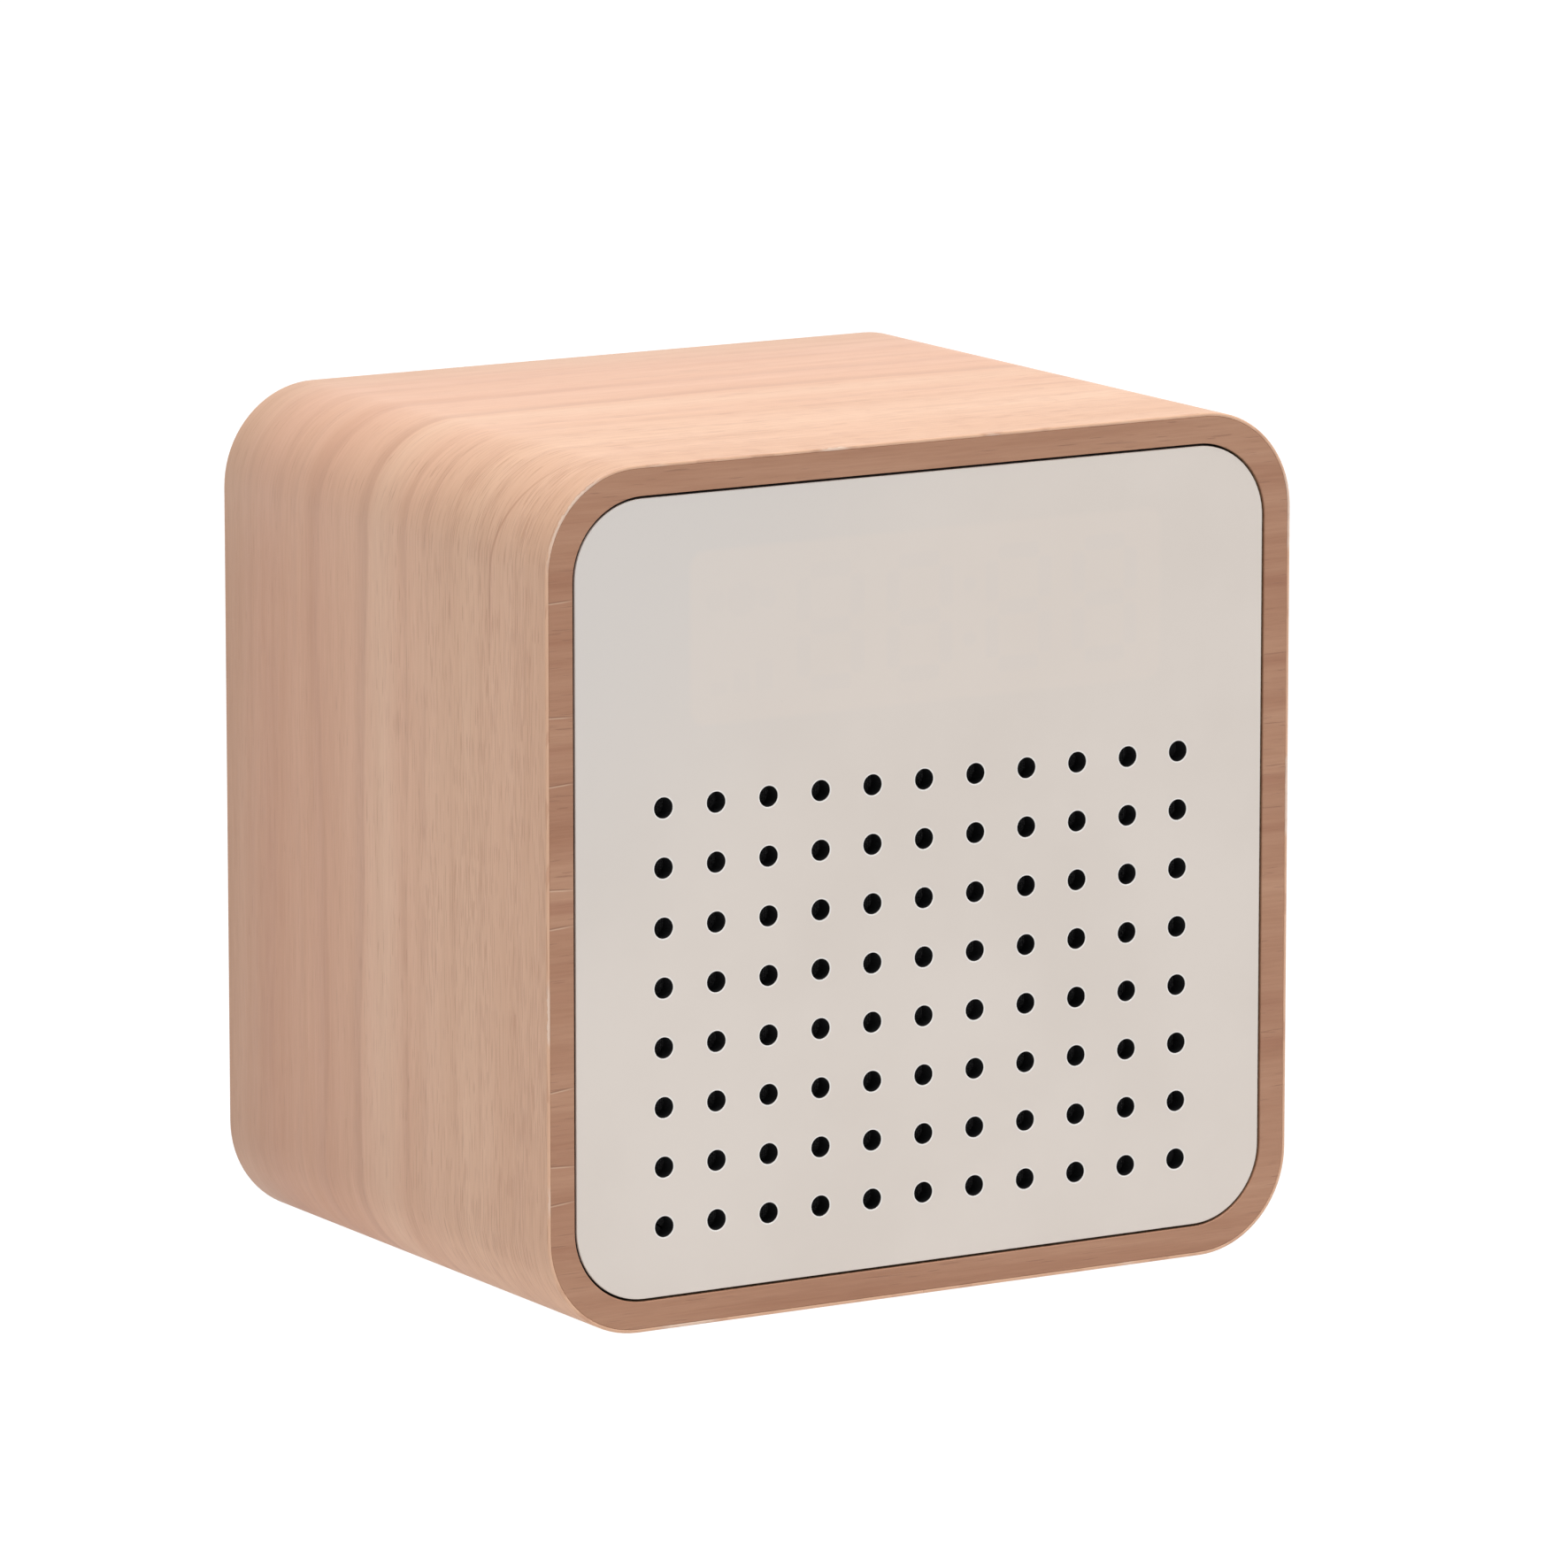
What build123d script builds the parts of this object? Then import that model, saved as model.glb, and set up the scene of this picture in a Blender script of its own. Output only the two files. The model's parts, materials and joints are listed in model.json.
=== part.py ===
from build123d import *
import os

# A carbon dioxide monitor for a desk or shelf. A square tube of thin board, wrapped in wood veneer, is the
# case. A black moulding under a thin white skin closes its front. Both have the same grid of air holes, and
# a number display is hidden behind the skin. A cover with the power socket and three buttons closes the
# back, and four spacers tie it to the front moulding.
#
# Frame, in millimetres: X runs across the front, Y from the front to the back, Z up. The origin is under the
# middle of the object, at the level that its feet stand on. Each piece is drawn about the middle of the case
# and lifted by CASE_MIDDLE_Z when it is written.

# ---- Case ----
CASE_SIZE = 101.0
CASE_DEPTH = 77.0
CASE_CORNER = 12.0
WRAP_THICKNESS = 0.4
EDGE_VENEER_THICKNESS = 0.5
FRONT_BORDER = 3.6
OPENING_CORNER = 9.25
LEDGE_WIDTH = 1.6
LEDGE_CORNER = 7.5
FRONT_LEDGE_DEPTH = 6.5
REAR_LEDGE_DEPTH = 3.5

# ---- Feet ----
FOOT_RADIUS = 4.5
FOOT_HEIGHT = 1.2
FOOT_INSET_X = 18.5
FOOT_INSET_Y = 12.0
FOOT_ROUNDING = 0.35

# ---- Front skin and the moulding that it is glued to ----
SKIN_GAP = 0.3
SKIN_RECESS = 0.1
SKIN_THICKNESS = 0.4
HOLE_PITCH = 7.0
HOLE_COLUMNS = 11
HOLE_ROWS = 8
HOLE_RADIUS = 1.25
HOLE_GRID_Z = -13.9
GLUE_THICKNESS = 0.1
GLUE_SETBACK = 0.2
CLOTH_THICKNESS = 0.3
CLOTH_SETBACK = 0.2
VENT_CLOTH_MARGIN = 1.5
CARRIER_GAP = 0.25
CARRIER_THICKNESS = 2.0
CARRIER_RIM = 1.8
CARRIER_HOLE_GROWTH = 0.1

# ---- Display ----
DISPLAY_WIDTH = 63.8
DISPLAY_HEIGHT = 20.2
DISPLAY_CORNER = 2.0
DISPLAY_DEPTH = 8.0
DISPLAY_X = 0.5
DISPLAY_Z = 29.8
DISPLAY_CLEARANCE = 0.2
DISPLAY_FACE_GAP = 0.05
DIGIT_CENTRES = (-13.2, -1.2, 12.3, 24.1)
DIGIT_BAR_SPAN = 7.2
DIGIT_HALF_SPAN = 6.6
BAR_WIDTH = 1.8
BAR_GAP = 0.4
COLON_X = 5.6
COLON_SPREAD = 3.2
COLON_RADIUS = 0.9
SIGN_X = -25.1
GAS_SIGN_Z = 4.1
GAS_SIGN_RADII = (1.2, 1.9, 1.2)
GAS_SIGN_SPREAD = 3.4
LEVEL_SIGN_Z = -6.7
LEVEL_BAR_WIDTH = 2.2
LEVEL_BAR_HEIGHTS = (1.4, 2.4, 3.4)
LEVEL_BAR_PITCH = 3.0
LIGHT_GUIDE_DEPTH = 2.5
LED_SIZE = (1.0, 0.6)
LED_HEIGHT = 0.5

# ---- Boards and their screws ----
BOARD_THICKNESS = 1.6
DISPLAY_BOARD_SIZE = (71.2, 28.8)
DISPLAY_SCREW_X = 28.0
DISPLAY_SCREW_Z = 12.6
MAIN_BOARD_SIZE = (66.0, 62.0)
MAIN_SCREW_X = 29.0
MAIN_SCREW_Z = 27.0
SMALL_BOSS_RADIUS = 2.0
STANDOFF_RADIUS = 2.7
STANDOFF_LENGTH = 7.0
FIT_GAP = 0.02
BOARD_HOLE_GAP = 0.2
MAIN_BOARD_CORNER = 1.5

# ---- Air chamber and the sensor ----
CHAMBER_SIZE = (72.8, 52.0)
CHAMBER_CORNER = 5.0
CHAMBER_WALL = 1.6
CHAMBER_BACK_Y = -16.0
GASKET_THICKNESS = 0.8
SENSOR_SCREW_X = 34.2
SENSOR_SCREW_Z = 14.0
SENSOR_BOSS_RADIUS = 2.6
SENSOR_BOSS_LENGTH = 12.0
CELL_SIZE = (33.0, 19.6)
CELL_DEPTH = 7.5
CELL_WALL = 0.6
CELL_CORNER = 2.5
CELL_X = -8.0
CELL_Z = -8.0
CELL_BASE_THICKNESS = 1.0
CELL_STAND_OFF = 1.5
INLET_SIZE = (8.0, 6.0)
INLET_SPREAD = 8.0
INLET_CORNER = 1.0
FILTER_MARGIN = 0.8
FILTER_THICKNESS = 0.2
CELL_BASE_MARGIN = 0.5
PIN_PITCH = 2.54
PIN_COUNT = 5
PIN_RADIUS = 0.3
PIN_TAIL = 1.0
PIN_TOP_GAP = 0.1
PIN_ROW_Z = 8.4
LAMP_AXIS_DEPTH = 3.4
LAMP_X = -12.0
LAMP_RADIUS = 1.6
LAMP_LENGTH = 5.0
LAMP_ROUNDING = 1.4
LAMP_FOOT_X = -13.5
LAMP_FOOT_SIZE = (2.0, 3.2)
DETECTOR_X = 12.0
DETECTOR_RADIUS = 2.7
DETECTOR_LENGTH = 3.2
DETECTOR_WINDOW = 2.4
DETECTOR_WINDOW_DEPTH = 0.4
CLIMATE_SENSOR = (27.0, -33.9, 3.0, 3.0, 1.0)

# ---- Back cover, spacers, socket and buttons ----
COVER_THICKNESS = 2.5
SPACER_OFFSET = 40.2
SPACER_ACROSS_CORNERS_RADIUS = 3.18
SPACER_END_GAP = 0.4
SPACER_THREAD_DEPTH = 9.0
SOCKET_Z = -28.0
SOCKET_SIZE = (8.94, 3.26)
SOCKET_LENGTH = 9.3
SOCKET_WALL = 0.3
TONGUE_SIZE = (6.7, 0.7)
TONGUE_SETBACK = 0.8
TONGUE_ROOT_GAP = 0.05
TONGUE_ROOT_LENGTH = 3.0
OVAL_CORNER_SHARE = 0.48
SOCKET_OPENING = (9.8, 4.1)
SOCKET_OPENING_CORNER = 1.9
PLUG_RECESS = (14.0, 8.5)
PLUG_RECESS_CORNER = 3.0
PLUG_RECESS_DEPTH = 1.0
BUTTON_Z = 24.0
BUTTON_PITCH = 14.0
BUTTON_RADIUS = 3.5
BUTTON_PROUD = 1.0
BUTTON_FLANGE_RADIUS = 4.4
BUTTON_FLANGE_THICKNESS = 1.0
BUTTON_CLEARANCE = 0.2
BUTTON_REST_GAP = 0.1
BUTTON_ROUNDING = 0.5
SWITCH_SIZE = 6.0
SWITCH_HEIGHT = 3.5
PLUNGER_RADIUS = 1.75
PLUNGER_PROUD = 1.5
PLUNGER_POCKET = 1.5
PLUNGER_GAP = 0.05
VENT_WIDTH = 1.6
VENT_PITCH = 3.5
VENT_CORNER = 0.72
UPPER_VENTS = 17
UPPER_VENT_HEIGHT = 7.0
UPPER_VENT_Z = 38.0
LOWER_VENTS = 5
LOWER_VENT_HEIGHT = 18.0
LOWER_VENT_Z = -28.0
LOWER_VENT_X = 17.0

# ---- Screws: head radius, head height, thread radius, thread length ----
CASE_SCREW = (2.7, 1.6, 1.5, 8.0)
SUNK_SCREW = (2.75, 1.5, 1.5, 8.0)
BOARD_SCREW = (2.1, 1.5, 1.1, 7.0)
FINE_SCREW = (1.8, 1.2, 0.9, 6.5)
COUNTERBORE_RADIUS = 3.1
COUNTERBORE_DEPTH = 1.2
CLEARANCE_RADIUS = 1.7
CROSS_WIDTH = 0.6
CROSS_SPAN_SHARE = 1.1
CROSS_DEPTH_SHARE = 0.6
HEAD_ROUNDING_SHARE = 0.45
SCREW_HOLE_SPARE = 1.0

# ---- Flat cables ----
CABLE_WIDTH = 10.0
CABLE_THICKNESS = 0.3
CABLE_BEND = 4.0
CONNECTOR_SIZE = (14.0, 4.5)
CONNECTOR_HEIGHT = 3.0
DISPLAY_PLUG_Z = 20.0
MAIN_DISPLAY_PLUG_Z = 22.0
SENSOR_PLUG_Z = -4.5
MAIN_SENSOR_PLUG_Z = -4.0
DISPLAY_CABLE_BENDS = [(-8.0, DISPLAY_PLUG_Z), (1.0, 9.0), (11.0, MAIN_DISPLAY_PLUG_Z)]
SENSOR_CABLE_BENDS = [(-3.0, SENSOR_PLUG_Z), (5.0, -14.0), (13.0, MAIN_SENSOR_PLUG_Z)]

# ---- Board parts: x, z, width, height and how far they stand off their board ----
DRIVER_CHIP = (18.5, 29.8, 10.3, 7.5, 2.0)
RESISTORS = [(-23.5 + 3.0 * n, 32.8, 1.6, 3.2, 0.6) for n in range(8)]
RADIO_MODULE = (-18.0, 4.0, 18.0, 25.5, 0.8)
RADIO_SHIELD = (-18.0, 1.0, 16.0, 17.6, 2.4)
RADIO_SHIELD_ROUNDING = 0.4
CHIPS = [(6.0, -18.0, 6.5, 3.5, 1.6), (20.0, -6.0, 5.0, 4.0, 1.5), (-8.0, -22.0, 3.0, 3.0, 1.0)]
SMALL_CHIPS = [(12.0 + 2.4 * n, -26.0, 1.2, 2.0, 0.6) for n in range(6)]
SMALL_CHIPS += [(-28.0, -24.0 + 2.4 * n, 2.0, 1.2, 0.6) for n in range(5)]
CRYSTAL = (-18.0, -20.0, 8.0, 3.6, 3.2)
CRYSTAL_CORNER = 1.7
CAPACITOR_SPOTS = [(25.0, 6.0), (25.0, 15.0)]
CAPACITOR_RADIUS = 3.15
CAPACITOR_HEIGHT = 7.7
CAPACITOR_ROUNDING = 0.5
POWER_COIL = (12.0, 10.0, 7.0, 7.0, 4.0)
POWER_COIL_CORNER = 1.2
BUZZER_SPOT = (21.0, -17.0)
BUZZER_RADIUS = 5.5
BUZZER_HEIGHT = 6.0
SOUND_HOLE_RADIUS = 1.0
SOUND_HOLE_DEPTH = 2.0

# ---- Depths worked out from the sizes above ----
CASE_MIDDLE_Z = FOOT_HEIGHT + CASE_SIZE / 2
FRONT_Y = -CASE_DEPTH / 2
REAR_Y = CASE_DEPTH / 2
CORE_FRONT_Y = FRONT_Y + EDGE_VENEER_THICKNESS
CORE_REAR_Y = REAR_Y - EDGE_VENEER_THICKNESS
FRONT_LEDGE_Y = CORE_FRONT_Y + FRONT_LEDGE_DEPTH
REAR_LEDGE_Y = CORE_REAR_Y - REAR_LEDGE_DEPTH
SKIN_FRONT_Y = FRONT_Y + SKIN_RECESS
SKIN_BACK_Y = SKIN_FRONT_Y + SKIN_THICKNESS
CARRIER_FRONT_Y = SKIN_BACK_Y + GLUE_THICKNESS
CARRIER_BACK_Y = CARRIER_FRONT_Y + CARRIER_THICKNESS
DISPLAY_FACE_Y = SKIN_BACK_Y + DISPLAY_FACE_GAP
DISPLAY_BACK_Y = DISPLAY_FACE_Y + DISPLAY_DEPTH
DISPLAY_BOARD_BACK_Y = DISPLAY_BACK_Y + BOARD_THICKNESS
GASKET_BACK_Y = CHAMBER_BACK_Y + GASKET_THICKNESS
SENSOR_BOARD_BACK_Y = GASKET_BACK_Y + BOARD_THICKNESS
SENSOR_SCREW_HOLE_Y = SENSOR_BOARD_BACK_Y - FINE_SCREW[3] - SCREW_HOLE_SPARE
CELL_BASE_BACK_Y = GASKET_BACK_Y - CELL_STAND_OFF
CELL_BACK_Y = CELL_BASE_BACK_Y - CELL_BASE_THICKNESS
CELL_FRONT_Y = CELL_BACK_Y - CELL_DEPTH
COVER_INNER_Y = REAR_LEDGE_Y
COVER_OUTER_Y = COVER_INNER_Y + COVER_THICKNESS
MAIN_BOARD_REAR_Y = COVER_INNER_Y - STANDOFF_LENGTH
MAIN_BOARD_FRONT_Y = MAIN_BOARD_REAR_Y - BOARD_THICKNESS
SWITCH_TOP_Y = MAIN_BOARD_REAR_Y + SWITCH_HEIGHT
PLUNGER_TOP_Y = SWITCH_TOP_Y + PLUNGER_PROUD

# ---- Widths worked out from the sizes above ----
CORE_SIZE = CASE_SIZE - 2 * WRAP_THICKNESS
CORE_CORNER = CASE_CORNER - WRAP_THICKNESS
OPENING_SIZE = CASE_SIZE - 2 * FRONT_BORDER
INNER_SIZE = OPENING_SIZE - 2 * LEDGE_WIDTH
SKIN_SIZE = OPENING_SIZE - 2 * SKIN_GAP
SKIN_CORNER = OPENING_CORNER - SKIN_GAP
CARRIER_SIZE = OPENING_SIZE - 2 * CARRIER_GAP
CARRIER_CORNER = OPENING_CORNER - CARRIER_GAP
CHAMBER_OUTSIDE = (CHAMBER_SIZE[0] + 2 * CHAMBER_WALL, CHAMBER_SIZE[1] + 2 * CHAMBER_WALL)
CHAMBER_OUTSIDE_CORNER = CHAMBER_CORNER + CHAMBER_WALL
SPACER_SPOTS = [(x, z) for x in (-SPACER_OFFSET, SPACER_OFFSET) for z in (-SPACER_OFFSET, SPACER_OFFSET)]
BUTTON_SPOTS = {"down": -BUTTON_PITCH, "set": 0.0, "up": BUTTON_PITCH}


# ---- Shared shapes ----
def prism(outline, y_from, y_to):
    """Extrudes an outline drawn in X and Z from one depth to another."""
    drawing_plane = Plane(origin=(0, y_to, 0), x_dir=(1, 0, 0), z_dir=(0, -1, 0))
    return extrude(drawing_plane * outline, amount=y_to - y_from)


def square(size, corner):
    return RectangleRounded(size, size, corner)


def block(x, z, size, y_from, y_to):
    return prism(Pos(x, z) * Rectangle(*size), y_from, y_to)


def rod(x, z, radius, y_from, y_to):
    return prism(Pos(x, z) * Circle(radius), y_from, y_to)


def four_spots(middle_x, middle_z, x_offset, z_offset):
    return [(middle_x + sx * x_offset, middle_z + sz * z_offset) for sx in (-1, 1) for sz in (-1, 1)]


def pan_screw(x, z, sizes, seat_y, facing):
    """A round-headed screw. Its head looks to the back where facing is 1, and to the front where it is -1."""
    head_radius, head_height, thread_radius, thread_length = sizes
    head_y = seat_y + facing * head_height
    tip_y = seat_y - facing * thread_length
    head = rod(x, z, head_radius, min(seat_y, head_y), max(seat_y, head_y))
    head = fillet(head.edges().group_by(Axis.Y)[-1 if facing > 0 else 0], head_height * HEAD_ROUNDING_SHARE)
    thread = rod(x, z, thread_radius, min(seat_y, tip_y), max(seat_y, tip_y))
    recess_y = head_y - facing * head_height * CROSS_DEPTH_SHARE
    span = head_radius * CROSS_SPAN_SHARE
    cross = Rectangle(span, CROSS_WIDTH) + Rectangle(CROSS_WIDTH, span)
    recess = prism(Pos(x, z) * cross, min(head_y, recess_y), max(head_y, recess_y))
    return head + thread - recess


def export(name, *solids):
    """Lifts the solids of one node onto the feet's level and writes them as one STEP file."""
    lifted = [Pos(0, 0, CASE_MIDDLE_Z) * solid for shape in solids for solid in shape.solids()]
    export_step(Compound(children=lifted) if len(lifted) > 1 else lifted[0], f"parts/{name}.step")


# ---- Case ----
def case_core():
    """A tube of board, with a ledge inside each end for what closes it."""
    tube = prism(square(CORE_SIZE, CORE_CORNER) - square(INNER_SIZE, LEDGE_CORNER), CORE_FRONT_Y, CORE_REAR_Y)
    tube -= prism(square(OPENING_SIZE, OPENING_CORNER), CORE_FRONT_Y, FRONT_LEDGE_Y)
    return tube - prism(square(OPENING_SIZE, OPENING_CORNER), REAR_LEDGE_Y, CORE_REAR_Y)


def wrap_veneer():
    return prism(square(CASE_SIZE, CASE_CORNER) - square(CORE_SIZE, CORE_CORNER), FRONT_Y, REAR_Y)


def edge_veneer(y_from, y_to):
    return prism(square(CORE_SIZE, CORE_CORNER) - square(OPENING_SIZE, OPENING_CORNER), y_from, y_to)


def rubber_feet():
    """Four round feet stuck under the case, their lower edges eased."""
    offset_x = CASE_SIZE / 2 - FOOT_INSET_X
    offset_y = CASE_DEPTH / 2 - FOOT_INSET_Y
    foot = Pos(0, 0, -CASE_SIZE / 2) * extrude(Circle(FOOT_RADIUS), amount=-FOOT_HEIGHT)
    foot = fillet(foot.edges().group_by(Axis.Z)[0], FOOT_ROUNDING)
    return [Pos(sx * offset_x, sy * offset_y, 0) * foot for sx in (-1, 1) for sy in (-1, 1)]


# ---- Front ----
def hole_grid(grow=0.0):
    spots = GridLocations(HOLE_PITCH, HOLE_PITCH, HOLE_COLUMNS, HOLE_ROWS)
    return [Pos(0, HOLE_GRID_Z) * spot * Circle(HOLE_RADIUS + grow) for spot in spots]


def display_window(clearance):
    size = (DISPLAY_WIDTH + 2 * clearance, DISPLAY_HEIGHT + 2 * clearance)
    return Pos(DISPLAY_X, DISPLAY_Z) * RectangleRounded(*size, DISPLAY_CORNER)


def front_skin():
    """A thin, slightly see-through white sheet over the whole front."""
    return prism(square(SKIN_SIZE, SKIN_CORNER) - hole_grid(), SKIN_FRONT_Y, SKIN_BACK_Y)


def skin_glue():
    """A sheet of glue behind the skin, set back from its edge, its holes and the display."""
    outline = square(SKIN_SIZE - 2 * GLUE_SETBACK, SKIN_CORNER - GLUE_SETBACK)
    outline -= display_window(2 * GLUE_SETBACK) + hole_grid(GLUE_SETBACK)
    return prism(outline, SKIN_BACK_Y, CARRIER_FRONT_Y)


def grille_cloth():
    """Black cloth inside the air chamber, behind the holes."""
    size = (CHAMBER_SIZE[0] - 2 * CLOTH_SETBACK, CHAMBER_SIZE[1] - 2 * CLOTH_SETBACK)
    outline = Pos(0, HOLE_GRID_Z) * RectangleRounded(*size, CHAMBER_CORNER)
    return prism(outline, CARRIER_BACK_Y, CARRIER_BACK_Y + CLOTH_THICKNESS)


def chamber_outline(outside):
    size, corner = (CHAMBER_OUTSIDE, CHAMBER_OUTSIDE_CORNER) if outside else (CHAMBER_SIZE, CHAMBER_CORNER)
    return Pos(0, HOLE_GRID_Z) * RectangleRounded(*size, corner)


def front_carrier():
    """The moulding behind the skin: it sits on the front ledge and holds the display and the air chamber."""
    plate = square(CARRIER_SIZE, CARRIER_CORNER) - display_window(DISPLAY_CLEARANCE)
    plate -= hole_grid(CARRIER_HOLE_GROWTH)
    rim = square(CARRIER_SIZE, CARRIER_CORNER) - square(CARRIER_SIZE - 2 * CARRIER_RIM, LEDGE_CORNER)
    carrier = prism(plate, CARRIER_FRONT_Y, CARRIER_BACK_Y) + prism(rim, CARRIER_BACK_Y, FRONT_LEDGE_Y)
    carrier += prism(chamber_outline(True) - chamber_outline(False), CARRIER_BACK_Y, CHAMBER_BACK_Y)
    for x, z in four_spots(0, HOLE_GRID_Z, SENSOR_SCREW_X, SENSOR_SCREW_Z):
        carrier += rod(x, z, SENSOR_BOSS_RADIUS, CHAMBER_BACK_Y - SENSOR_BOSS_LENGTH, CHAMBER_BACK_Y)
    for x, z in four_spots(DISPLAY_X, DISPLAY_Z, DISPLAY_SCREW_X, DISPLAY_SCREW_Z):
        carrier += rod(x, z, SMALL_BOSS_RADIUS, CARRIER_BACK_Y, DISPLAY_BACK_Y)
    for x, z in four_spots(0, HOLE_GRID_Z, SENSOR_SCREW_X, SENSOR_SCREW_Z):
        carrier -= rod(x, z, FINE_SCREW[2] + FIT_GAP, SENSOR_SCREW_HOLE_Y, CHAMBER_BACK_Y)
    for x, z in four_spots(DISPLAY_X, DISPLAY_Z, DISPLAY_SCREW_X, DISPLAY_SCREW_Z):
        carrier -= rod(x, z, FINE_SCREW[2] + FIT_GAP, CARRIER_BACK_Y, DISPLAY_BACK_Y)
    for x, z in SPACER_SPOTS:
        carrier -= sunk_screw(x, z, FIT_GAP)
    return carrier


def sunk_screw(x, z, gap=0.0):
    """A flat-headed screw from the front of the carrier into a spacer, or its hole where gap is not zero."""
    head_radius, head_height, thread_radius, thread_length = SUNK_SCREW
    drawing_plane = Plane(origin=(x, CARRIER_FRONT_Y, z), x_dir=(1, 0, 0), z_dir=(0, 1, 0))
    small_end = drawing_plane.offset(head_height) * Circle(thread_radius + gap)
    head = loft([drawing_plane * Circle(head_radius + gap), small_end])
    thread_start = CARRIER_FRONT_Y + head_height
    return head + rod(x, z, thread_radius + gap, thread_start, CARRIER_FRONT_Y + thread_length)


# ---- Display ----
def bar_outline(length):
    """One bar of a digit: a long hexagon along X."""
    half, tip = length / 2, BAR_WIDTH / 2
    upper = [(-half, 0), (tip - half, tip), (half - tip, tip), (half, 0)]
    lower = [(half - tip, -tip), (tip - half, -tip)]
    return Polygon(*upper, *lower, align=None)


def digit_bars(centre_x):
    """The seven bars of one digit."""
    bars = [Pos(0, z) * bar_outline(DIGIT_BAR_SPAN - BAR_GAP) for z in (-DIGIT_HALF_SPAN, 0, DIGIT_HALF_SPAN)]
    for x, z in four_spots(0, 0, DIGIT_BAR_SPAN / 2, DIGIT_HALF_SPAN / 2):
        bars.append(Pos(x, z) * Rot(0, 0, 90) * bar_outline(DIGIT_HALF_SPAN - BAR_GAP))
    return [Pos(DISPLAY_X + centre_x, DISPLAY_Z) * bar for bar in bars]


def all_digit_bars():
    return [bar for centre_x in DIGIT_CENTRES for bar in digit_bars(centre_x)]


def sign_outlines():
    """The colon's two dots, a gas sign of three balls in a row, and a level sign of three rising bars."""
    dots = [Pos(COLON_X, z) * Circle(COLON_RADIUS) for z in (-COLON_SPREAD, COLON_SPREAD)]
    balls = [
        Pos(SIGN_X + side * GAS_SIGN_SPREAD, GAS_SIGN_Z) * Circle(radius)
        for side, radius in zip((-1, 0, 1), GAS_SIGN_RADII)
    ]
    bars = [
        Pos(SIGN_X + side * LEVEL_BAR_PITCH, LEVEL_SIGN_Z + height / 2) * Rectangle(LEVEL_BAR_WIDTH, height)
        for side, height in zip((-1, 0, 1), LEVEL_BAR_HEIGHTS)
    ]
    return [Pos(DISPLAY_X, DISPLAY_Z) * shape for shape in dots + balls + bars]


def display_housing():
    """A white block with one open light well behind each bar and dot."""
    outline = display_window(0) - all_digit_bars() - sign_outlines()
    return prism(outline, DISPLAY_FACE_Y, DISPLAY_BACK_Y)


def light_guides(outlines):
    return [prism(outline, DISPLAY_FACE_Y, DISPLAY_FACE_Y + LIGHT_GUIDE_DEPTH) for outline in outlines]


def display_leds():
    """One light-emitting chip at the foot of each light well."""
    leds = []
    for outline in all_digit_bars() + sign_outlines():
        middle = outline.center()
        leds.append(block(middle.X, middle.Y, LED_SIZE, DISPLAY_BACK_Y - LED_HEIGHT, DISPLAY_BACK_Y))
    return leds


def display_board():
    outline = Pos(DISPLAY_X, DISPLAY_Z) * Rectangle(*DISPLAY_BOARD_SIZE)
    for x, z in four_spots(DISPLAY_X, DISPLAY_Z, DISPLAY_SCREW_X, DISPLAY_SCREW_Z):
        outline -= Pos(x, z) * Circle(FINE_SCREW[2] + BOARD_HOLE_GAP)
    return prism(outline, DISPLAY_BACK_Y, DISPLAY_BOARD_BACK_Y)


def display_driver():
    """The display's driver chip and its row of resistors, on the back of the display board."""
    solids = []
    for x, z, width, height, thickness in (DRIVER_CHIP, *RESISTORS):
        solids.append(block(x, z, (width, height), DISPLAY_BOARD_BACK_Y, DISPLAY_BOARD_BACK_Y + thickness))
    return solids


# ---- Sensor ----
def sensor_gasket():
    outline = chamber_outline(True) - chamber_outline(False)
    for x, z in four_spots(0, HOLE_GRID_Z, SENSOR_SCREW_X, SENSOR_SCREW_Z):
        outline += Pos(x, z) * Circle(SENSOR_BOSS_RADIUS)
        outline -= Pos(x, z) * Circle(FINE_SCREW[2] + BOARD_HOLE_GAP)
    return prism(outline, CHAMBER_BACK_Y, GASKET_BACK_Y)


def pin_spots():
    """The two rows of pins that join the gas cell to its board."""
    columns = [CELL_X + (n - (PIN_COUNT - 1) / 2) * PIN_PITCH for n in range(PIN_COUNT)]
    return [(x, CELL_Z + row) for x in columns for row in (-PIN_ROW_Z, PIN_ROW_Z)]


def sensor_board():
    outline = chamber_outline(True)
    for x, z in four_spots(0, HOLE_GRID_Z, SENSOR_SCREW_X, SENSOR_SCREW_Z):
        outline -= Pos(x, z) * Circle(FINE_SCREW[2] + BOARD_HOLE_GAP)
    for x, z in pin_spots():
        outline -= Pos(x, z) * Circle(PIN_RADIUS + FIT_GAP)
    return prism(outline, GASKET_BACK_Y, SENSOR_BOARD_BACK_Y)


def inlet_outlines(grow):
    size = (INLET_SIZE[0] + 2 * grow, INLET_SIZE[1] + 2 * grow)
    inlet = RectangleRounded(*size, INLET_CORNER)
    return [Pos(CELL_X + side * INLET_SPREAD, CELL_Z) * inlet for side in (-1, 1)]


def cell_cover():
    """The gold-coated cover of the gas cell, open at the back, with two inlets in its front."""
    outside = Pos(CELL_X, CELL_Z) * RectangleRounded(*CELL_SIZE, CELL_CORNER)
    inside_size = (CELL_SIZE[0] - 2 * CELL_WALL, CELL_SIZE[1] - 2 * CELL_WALL)
    inside = Pos(CELL_X, CELL_Z) * RectangleRounded(*inside_size, CELL_CORNER - CELL_WALL)
    cover = prism(outside, CELL_FRONT_Y, CELL_BACK_Y) - prism(inside, CELL_FRONT_Y + CELL_WALL, CELL_BACK_Y)
    for inlet in inlet_outlines(0):
        cover -= prism(inlet, CELL_FRONT_Y, CELL_FRONT_Y + CELL_WALL)
    return cover


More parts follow.
